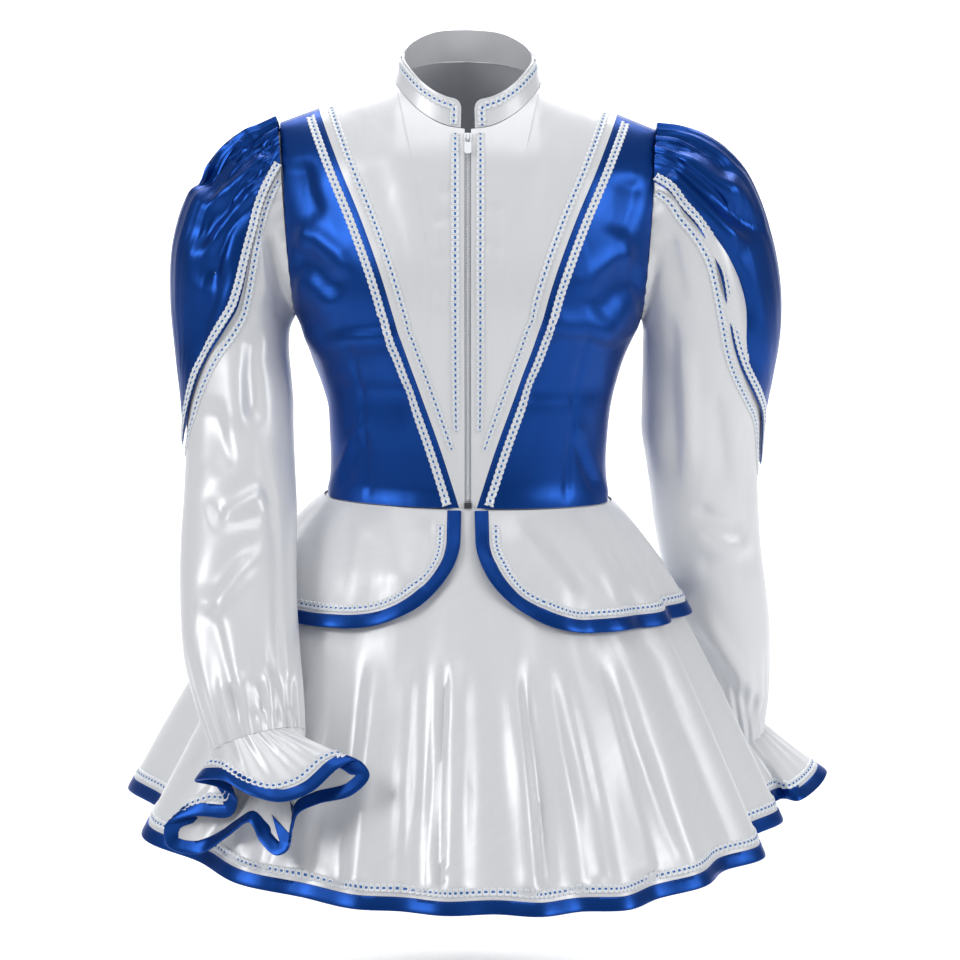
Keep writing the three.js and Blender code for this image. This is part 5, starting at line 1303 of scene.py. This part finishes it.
def closed_line(table, place):
    """Closed centripetal Catmull-Rom: knots as far apart as the root of the distance between two points."""
    p = np.array(table, float)
    whole = (place % 1) * len(p)
    i = np.floor(whole).astype(int)
    t = (whole - i)[..., None]
    p0, p1, p2, p3 = (p[(i + k) % len(p)] for k in (-1, 0, 1, 2))
    pairs = ((p0, p1), (p1, p2), (p2, p3))
    d0, d1, d2 = (np.sqrt(np.linalg.norm(b - a, axis=-1, keepdims=True)) for a, b in pairs)
    m1 = ((p1 - p0) / d0 - (p2 - p0) / (d0 + d1) + (p2 - p1) / d1) * d1
    m2 = ((p2 - p1) / d1 - (p3 - p1) / (d1 + d2) + (p3 - p2) / d2) * d1
    return p1 + m1 * t + (-3 * p1 + 3 * p2 - 2 * m1 - m2) * t**2 + (2 * p1 - 2 * p2 + m1 + m2) * t**3


def frill_surface(name):
    """u once round, v in a straight line from the wrist (0) to the edge (1)."""
    sleeve, rings = arms[name][1], arms[name][3]
    u = np.linspace(0, 1, 10 * len(FRILL_EDGE[name]) + 1)
    edge = closed_line(FRILL_EDGE[name], u)
    lengths = np.concatenate([[0], np.cumsum(np.linalg.norm(np.diff(edge, axis=0), axis=1))])

    def surface(u, v):
        """The straight line from the wrist seam to the edge, taken at equal shares of their lengths."""
        u, v = np.broadcast_arrays(u, v)
        share = np.interp(u % 1, np.linspace(0, 1, len(lengths)), lengths / lengths[-1])
        turn = (share + FRILL_START[name]) * 2 * np.pi
        wrist = sleeve(turn, rings + 0 * turn)
        before = sleeve(turn, rings - 0.2 + 0 * turn)
        step = wrist - before
        seam = wrist + step / np.linalg.norm(step, axis=-1, keepdims=True) * 0.3
        return mix(seam, closed_line(FRILL_EDGE[name], u), v[..., None])
    wrist = np.full(1, float(rings))
    wrist_middle = (sleeve(np.zeros(1), wrist) + sleeve(np.full(1, np.pi), wrist)) / 2
    return facing(surface, 0, 0.0, wrist_middle[0])


frills = {name: frill_surface(name) for name in arms}
for name, frill in frills.items():
    u = np.linspace(0, 1, 241)[:-1]
    cloth(f"frill_{name}", frill, *grid(u, np.linspace(0, 1, 26)), WHITE, closed=True)

# %% [markdown]
# ## Braid and binding on the dress
#
# Each line is drawn on the cloth it is sewn to: along the two seams of the yoke, beside the zip, round the
# collar, round the caps, on the sleeves just outside the caps, and above the bound edges of peplum, skirt
# and frills.

# %% Braid along the seams of the bodice
def towards(surface, path, closed, goal):
    """Which side of a line the place `goal` lies on: 1 or -1."""
    s, place, sideways = lay(surface, path, closed, 2.0)
    middle = len(place) // 2
    return float(np.sign(sideways[middle] @ (np.array(goal, float) - place[middle])))


def edge_band(name, surface, path, section, material, goal, closed=False, **more):
    """A band whose first distances start at the line and grow towards the place `goal`."""
    return band(name, surface, path, section, material, closed, towards(surface, path, closed, goal), **more)


def down_line(u, low, high, count=60):
    """A line at one u from v = low to v = high."""
    return np.stack([np.full(count, float(u)), np.linspace(low, high, count)], axis=1)


BRAID_STEP = 0.8
TOP_V, BOTTOM_V = 0.012, 0.985
SEAM_THREAD_IN = 1.6
for name, (white, blue) in fronts.items():
    for kind, surface, line_u, low, start, goal in (
            ("blue", blue, 0, BOTTOM_V, 5.5, (0.5, 0.5)),
            ("white", white, 1, 0.86, 7.0, (0.5, 0.45)),
            ("zip", white, 0, 0.8, 4.5, (0.5, 0.4))):
        edge_band(f"braid_{kind}_{name}", surface, down_line(line_u, TOP_V, low), braid_section(start), BRAID,
                  goal, spacing=BRAID_STEP)
    path = down_line(0, TOP_V, BOTTOM_V)
    seam_side = towards(blue, path, False, (0.5, 0.5))
    stitches(f"stitch_seam_{name}", blue, path, SEAM_THREAD_IN, BLUE_THREAD, side=seam_side)

# %% Braid round the collar
BRAID_IN = 2.5 + BRAID_WIDE / 2
UP = {"degrees": 11.2, "low": 1.5, "high": 14}  # the run up the collar's front edge
BEND = {"degrees": 3.4, "from": 14.4, "high": 4}  # the turn from there into the run along the top
bend = np.linspace(0, np.pi / 2, 7)[1:]
half_path = [(UP["degrees"], high) for high in np.linspace(UP["low"], UP["high"], 8)]
half_path += [(UP["degrees"] + BEND["degrees"] * (1 - np.cos(a)), BEND["from"] + BEND["high"] * np.sin(a))
              for a in bend]
top_degrees = np.linspace(UP["degrees"] + 4, 180, 90)
half_path += [(d, float(along(COLLAR, d, 2)) - BRAID_IN) for d in top_degrees]
half_path = np.array(half_path)
mirrored = half_path[::-1][1:] * [-1, 1] + [360, 0]
collar_path = np.concatenate([half_path, mirrored])
band("braid_collar", collar_up, collar_path, braid_section(-BRAID_WIDE / 2), BRAID, spacing=0.7)

# %% Braid on the caps and the sleeves
TURN_STEP = 0.01
CAP_BRAID_IN = 1.8 + BRAID_WIDE / 2  # from the cap's edge to the middle of its braid
SLEEVE_BRAID_OUT = 4 + BRAID_WIDE / 2
POINT_MORE = 3.5  # how much wider the sleeve's braid turns round the cap's point
MITRE = 0.004


def per_radian(surface, turn, ring):
    """Millimetres round the arm for one radian."""
    whole = surface(turn + TURN_STEP, ring) - surface(turn - TURN_STEP, ring)
    return np.linalg.norm(whole, axis=-1) / (2 * TURN_STEP)


def keep_off_middle(u, v, line_u, line_v):
    """The two runs of a pointed edge meet in a mitre on the middle line, whatever the place line_v is."""
    return np.where(line_u < 0, np.minimum(u, -MITRE), np.maximum(u, MITRE)), v


for name, (base, sleeve, cap, rings) in arms.items():
    tip = CAP_EDGE[name][-1][0]
    r = np.linspace(0.12, tip + 0.4, 240)
    inner = cap_edge(name, r) - CAP_BRAID_IN / per_radian(base, cap_edge(name, r), r)
    good = inner > 0.02
    run = np.stack([inner[good], r[good]], axis=1)
    path = np.concatenate([run * [-1, 1], [(0, run[-1, 1] + 0.03)], run[::-1]])
    band(f"braid_cap_{name}", cap, path, braid_section(-BRAID_WIDE / 2), BRAID, spacing=BRAID_STEP,
         limit=keep_off_middle)

    r = np.linspace(0.15, tip - 0.35, 160)
    outer = cap_edge(name, r) + SLEEVE_BRAID_OUT / per_radian(base, cap_edge(name, r), r)
    run = np.stack([outer, r], axis=1)
    top = np.zeros(1)
    per_ring = np.linalg.norm(base(top, np.array([tip - 0.5])) - base(top, np.array([tip + 0.5])))
    wide = (POINT_MORE + SLEEVE_BRAID_OUT) / float(per_radian(base, top, np.array([tip]))[0])
    arc = np.radians(np.linspace(-80, 80, 17))
    turn_line = np.stack([wide * np.sin(arc), tip + SLEEVE_BRAID_OUT * np.cos(arc) / per_ring], axis=1)
    path = np.concatenate([run * [-1, 1], turn_line, run[::-1]])
    band(f"braid_sleeve_{name}", sleeve, path, braid_section(-BRAID_WIDE / 2), BRAID, spacing=BRAID_STEP)

# %% Braid and binding round skirt, peplum and frills
THREAD_IN = BIND_WIDE - 1.6
ring_path = np.stack([skirt_around, np.ones(len(skirt_around))], axis=1)
ring_turn = np.array([2 * np.pi, 0])
hem_side = towards(skirt, ring_path, ring_turn, (0, 0.5))
band("binding_skirt", skirt, ring_path, binding_section(SATIN), BLUE, ring_turn, hem_side, spacing=1.8)
band("braid_skirt", skirt, ring_path, braid_section(15.0), BRAID, ring_turn, hem_side, spacing=BRAID_STEP)
stitches("stitch_skirt", skirt, ring_path, THREAD_IN, BLUE_THREAD, ring_turn, hem_side, lift=1.0)

corner = corner_places(60)
front_edge = np.stack([np.full(12, peplum_angle(0)), np.linspace(3, 27, 12)], axis=1)
half_edge = np.concatenate([
    front_edge, np.stack([peplum_angle(corner), peplum_depth(corner, 0)], axis=1),
    np.stack([np.linspace(turned, np.pi, 60)[1:], np.full(59, PEPLUM["deep"])], axis=1)])
edge = np.concatenate([half_edge, (half_edge[::-1][1:]) * [-1, 1] + [2 * np.pi, 0]])
edge_side = towards(peplum, edge, False, (np.pi, 50))
band("binding_peplum", peplum, edge, binding_section(SATIN), BLUE, side=edge_side, spacing=1.6)
stitches("stitch_peplum", peplum, edge, THREAD_IN, BLUE_THREAD, side=edge_side, lift=1.0)
band("braid_peplum", peplum, edge[6:-6], braid_section(14.0), BRAID, side=edge_side, spacing=BRAID_STEP)

for name, frill in frills.items():
    u = np.linspace(0, 1, 481)[:-1]
    path = np.stack([u, np.ones(len(u))], axis=1)
    once = np.array([1.0, 0.0])
    rim_side = towards(frill, path, once, (0.5, 0.4))

    def level(distance):
        """The line that runs a distance above the edge, measured down each straight line of the frill."""
        long = np.linalg.norm(frill(u, 0 * u) - frill(u, 0 * u + 1), axis=-1)
        return np.stack([u, 1 - distance / long], axis=1)
    frill_strip = binding_section(SATIN, 11.0)
    band(f"binding_frill_{name}", frill, path, frill_strip, BLUE, once, rim_side, spacing=1.5)
    band(f"braid_frill_{name}", frill, level(13.2 + BRAID_WIDE / 2), braid_section(-BRAID_WIDE / 2), BRAID,
         once, spacing=BRAID_STEP)

# %% [markdown]
# ## The zip
#
# A coil zip is two plastic spirals whose turns lock into one another. Its teeth are copied along the line
# down the front: one spindle for each turn, left and right in turn. The slider, its pull and the bottom stop
# keep the shape of their solids, with softened edges.

# %% Tape, teeth, slider, pull and stop
ZIP_TOP, ZIP_BOTTOM, TOOTH = -30, -366, 1.3
ZIP_BEHIND, TAPE_HALF = 2.3, 12
TEETH = {"x": 0.75, "out": 1.3, "long": 3.4, "wide": 1.3}
CORDS = {"x": 2.1, "out": 0.9, "long": 1.35, "wide": 1.1}


def zip_line(x, z):
    """A strip down the front, a little behind the cloth's outer face."""
    middle = figure(0 * z, z)
    step = figure(0 * z, z - 1) - figure(0 * z, z + 1)
    out = np.stack([0 * z, step[..., 2], -step[..., 1]], axis=-1)
    out /= -np.linalg.norm(out, axis=-1, keepdims=True) * np.sign(out[..., 1:2])
    return middle * [0, 1, 1] + out * -ZIP_BEHIND + points_of(x, 0 * z, 0 * z)


facing(zip_line, 0, -200, BODY_INSIDE)
zip_front = lean(zip_line)
tape_grid = grid(np.linspace(-TAPE_HALF, TAPE_HALF, 13), np.linspace(ZIP_TOP, ZIP_BOTTOM, 90))
cloth("zip_tape_cloth", zip_front, *tape_grid, TAPE)


def spindles(name, centres, direction, out, long, wide, material):
    """Copies of one eight-sided spindle, each along its own direction."""
    across = np.cross(out, direction)
    turn = np.arange(8) * np.pi / 4
    rings = np.array([(-0.5, 0.15), (-0.42, 0.42), (0.42, 0.42), (0.5, 0.15)])
    a = np.repeat(rings[:, 0] * long, 8)
    b = (rings[:, 1:] * np.cos(turn)).ravel() * wide
    c = (rings[:, 1:] * np.sin(turn)).ravel() * wide
    points = (centres[:, None] + direction[:, None] * a[:, None] + across[:, None] * b[:, None]
              + out[:, None] * c[:, None])
    i, j = cells(8, 4, True)
    caps = [[3, 2, 1, 0], [7, 6, 5, 4], [4, 3, 0, 7], [24, 25, 26, 27], [28, 29, 30, 31], [31, 24, 27, 28]]
    one = np.concatenate([j * 8 + i % 8, caps])
    quads = (np.arange(len(centres))[:, None, None] * 32 + one).reshape(-1, 4)
    print(f"{name}: {len(centres)} teeth")
    return make_mesh(name, points.reshape(-1, 3), quads, np.zeros((len(quads), 4, 2)), material)


z = np.arange(ZIP_TOP - 1, ZIP_BOTTOM + 1, -TOOTH)
side_of = np.where(np.arange(len(z)) % 2 == 0, -1, 1)
centres = zip_front(TEETH["x"] * side_of, z)
out = normals(zip_front, 0 * z, z)
aside = np.tile([1.0, 0, 0], (len(z), 1))
spindles("zip_teeth", centres + out * TEETH["out"], aside, out, TEETH["long"], TEETH["wide"], TAPE)
cord = np.concatenate([zip_front(0 * z + x, z) for x in (-CORDS["x"], CORDS["x"])])
z2 = np.concatenate([z, z])
out = normals(zip_front, 0 * z2, z2)
upright = np.tile([0, 0, 1.0], (len(z2), 1))
spindles("zip_cords", cord + out * CORDS["out"], upright, out, CORDS["long"], CORDS["wide"], THREAD)


def softened(name, node_name, material, width):
    """The solid's own mesh, its corners merged and its edges bevelled."""
    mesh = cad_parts[node_name].data.copy()
    piece = bpy.data.objects.new(name, mesh)
    bpy.context.collection.objects.link(piece)
    work = bmesh.new()
    work.from_mesh(mesh)
    bmesh.ops.remove_doubles(work, verts=work.verts, dist=1e-5)
    bmesh.ops.dissolve_limit(work, angle_limit=np.radians(3), verts=work.verts, edges=work.edges)
    work.to_mesh(mesh)
    work.free()
    mesh.materials.clear()
    mesh.materials.append(material)
    bevel = piece.modifiers.new("soft edges", "BEVEL")
    bevel.width, bevel.segments, bevel.limit_method = width, 2, "ANGLE"
    bevel.angle_limit = np.radians(35)
    mesh.shade_smooth()
    mesh.set_sharp_from_angle(angle=np.radians(35))
    pieces[name] = piece
    print(name, "from", node_name)


softened("slider", "zip_slider", ENAMEL, 0.00035)
softened("pull", "zip_pull", ENAMEL, 0.0002)
softened("stop", "zip_bottom_stop", STEEL, 0.0003)

# %% [markdown]
# ## What every piece is
#
# Each piece rides on the body it belongs to and stands for its solid, which is hidden. When a cloth is made,
# the length of its widest row and of its longest column and its area are measured.

# %% Riding and replacing
STANDS_FOR = {
    "collar_band": ("collar", "white_satin"), "bodice_back": ("back", "blue_satin"),
    "skirt_cloth": ("skirt", "white_satin"), "peplum_cloth": ("peplum", "white_satin"),
    "binding_skirt": ("skirt_binding", "blue_satin"), "binding_peplum": ("peplum_binding", "blue_satin"),
    "braid_skirt": ("skirt_braid", "braid"), "braid_peplum": ("peplum_braid", "braid"),
    "braid_collar": ("collar_braid", "braid"), "zip_tape_cloth": ("zip_tape", "zip_tape"),
    "slider": ("zip_slider", "zip_enamel"), "pull": ("zip_pull", "zip_enamel"),
    "stop": ("zip_bottom_stop", "zip_steel"),
    "stitch_skirt": (None, "blue_satin"), "stitch_peplum": (None, "blue_satin"),
    "zip_teeth": (None, "zip_tape"), "zip_cords": (None, "zip_tape")}
for name in ("left", "right"):
    STANDS_FOR.update({
        f"yoke_{name}": (f"front_yoke_{name}", "white_satin"),
        f"side_{name}": (f"side_front_{name}", "blue_satin"),
        f"sleeve_long_{name}": (f"sleeve_{name}", "white_satin"),
        f"cap_{name}": (f"sleeve_cap_{name}", "blue_satin"),
        f"frill_{name}": (f"wrist_frill_{name}", "white_satin"),
        f"binding_frill_{name}": (f"wrist_binding_{name}", "blue_satin"),
        f"braid_frill_{name}": (f"wrist_braid_{name}", "braid"),
        f"braid_blue_{name}": (f"seam_braid_blue_{name}", "braid"),
        f"braid_white_{name}": (f"seam_braid_white_{name}", "braid"),
        f"braid_zip_{name}": (f"zip_braid_{name}", "braid"),
        f"braid_cap_{name}": (f"sleeve_cap_braid_{name}", "braid"),
        f"braid_sleeve_{name}": (f"sleeve_braid_{name}", "braid"),
        f"stitch_seam_{name}": (None, "blue_satin")})
for name, piece in pieces.items():
    solid, slot = STANDS_FOR[name]
    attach(piece, "zip_pull" if name == "pull" else "garment")
    if solid:
        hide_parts(solid)
print(len(pieces), "pieces; in the table but not made:", sorted(set(STANDS_FOR) - set(pieces)))

# %% [markdown]
# ## Light and ground
#
# White satin shows its folds only when the light comes softly from the sides, and blue satin needs something
# bright to reflect. Two large soft boxes stand left and right of the camera and one hangs above. The ground
# curves up far behind the dress, and a fourth soft box lights it.

# %% Floor, lights and world
GROUND, FRONT, CURVE_FROM, CURVE, WALL_TOP = -0.86, -6.0, 3.6, 0.9, 3.2  # metres
bend = np.linspace(0, np.pi / 2, 16)[1:]
profile = np.concatenate([
    [(FRONT, GROUND), (CURVE_FROM, GROUND)],
    np.stack([CURVE_FROM + CURVE * np.sin(bend), GROUND + CURVE * (1 - np.cos(bend))], axis=1),
    [(CURVE_FROM + CURVE, WALL_TOP)]])
xs = np.linspace(-5, 5, 11)
points = points_of(xs[None], profile[:, :1], profile[:, 1:]).reshape(-1, 3)
i, j = cells(len(xs), len(profile))
ground_mesh = bpy.data.meshes.new("ground")
ground_mesh.from_pydata(points.tolist(), [], (j * len(xs) + i).tolist())
ground_mesh.shade_smooth()
ground_mesh.materials.append(FLOOR)
ground = bpy.data.objects.new("ground", ground_mesh)
bpy.context.collection.objects.link(ground)


def soft_box(name, place, aim, size, power):
    """A square lamp at a place, turned towards a point."""
    lamp = bpy.data.lights.new(name, "AREA")
    lamp.size, lamp.energy = size, power
    holder = bpy.data.objects.new(name, lamp)
    holder.location = place
    way = Vector(aim) - Vector(place)
    holder.rotation_euler = way.to_track_quat("-Z", "Y").to_euler()
    bpy.context.collection.objects.link(holder)


MIDDLE = (0, 0, -0.3)
soft_box("left", (-2.3, -1.7, 1.2), MIDDLE, 1.2, 38)
soft_box("right", (2.4, -1.5, 0.6), MIDDLE, 1.2, 29)
soft_box("above", (0, -0.5, 2.2), MIDDLE, 1.6, 20)
soft_box("behind", (0, 2.2, 2.4), (0, 3.5, -0.6), 2.8, 210)
world = bpy.data.worlds.new("studio")
world.use_nodes = True
background = world.node_tree.nodes["Background"]
background.inputs["Color"].default_value = (1, 1, 1, 1)
background.inputs["Strength"].default_value = 0.25
bpy.context.scene.world = world
bpy.context.scene.view_settings.view_transform = "Standard"
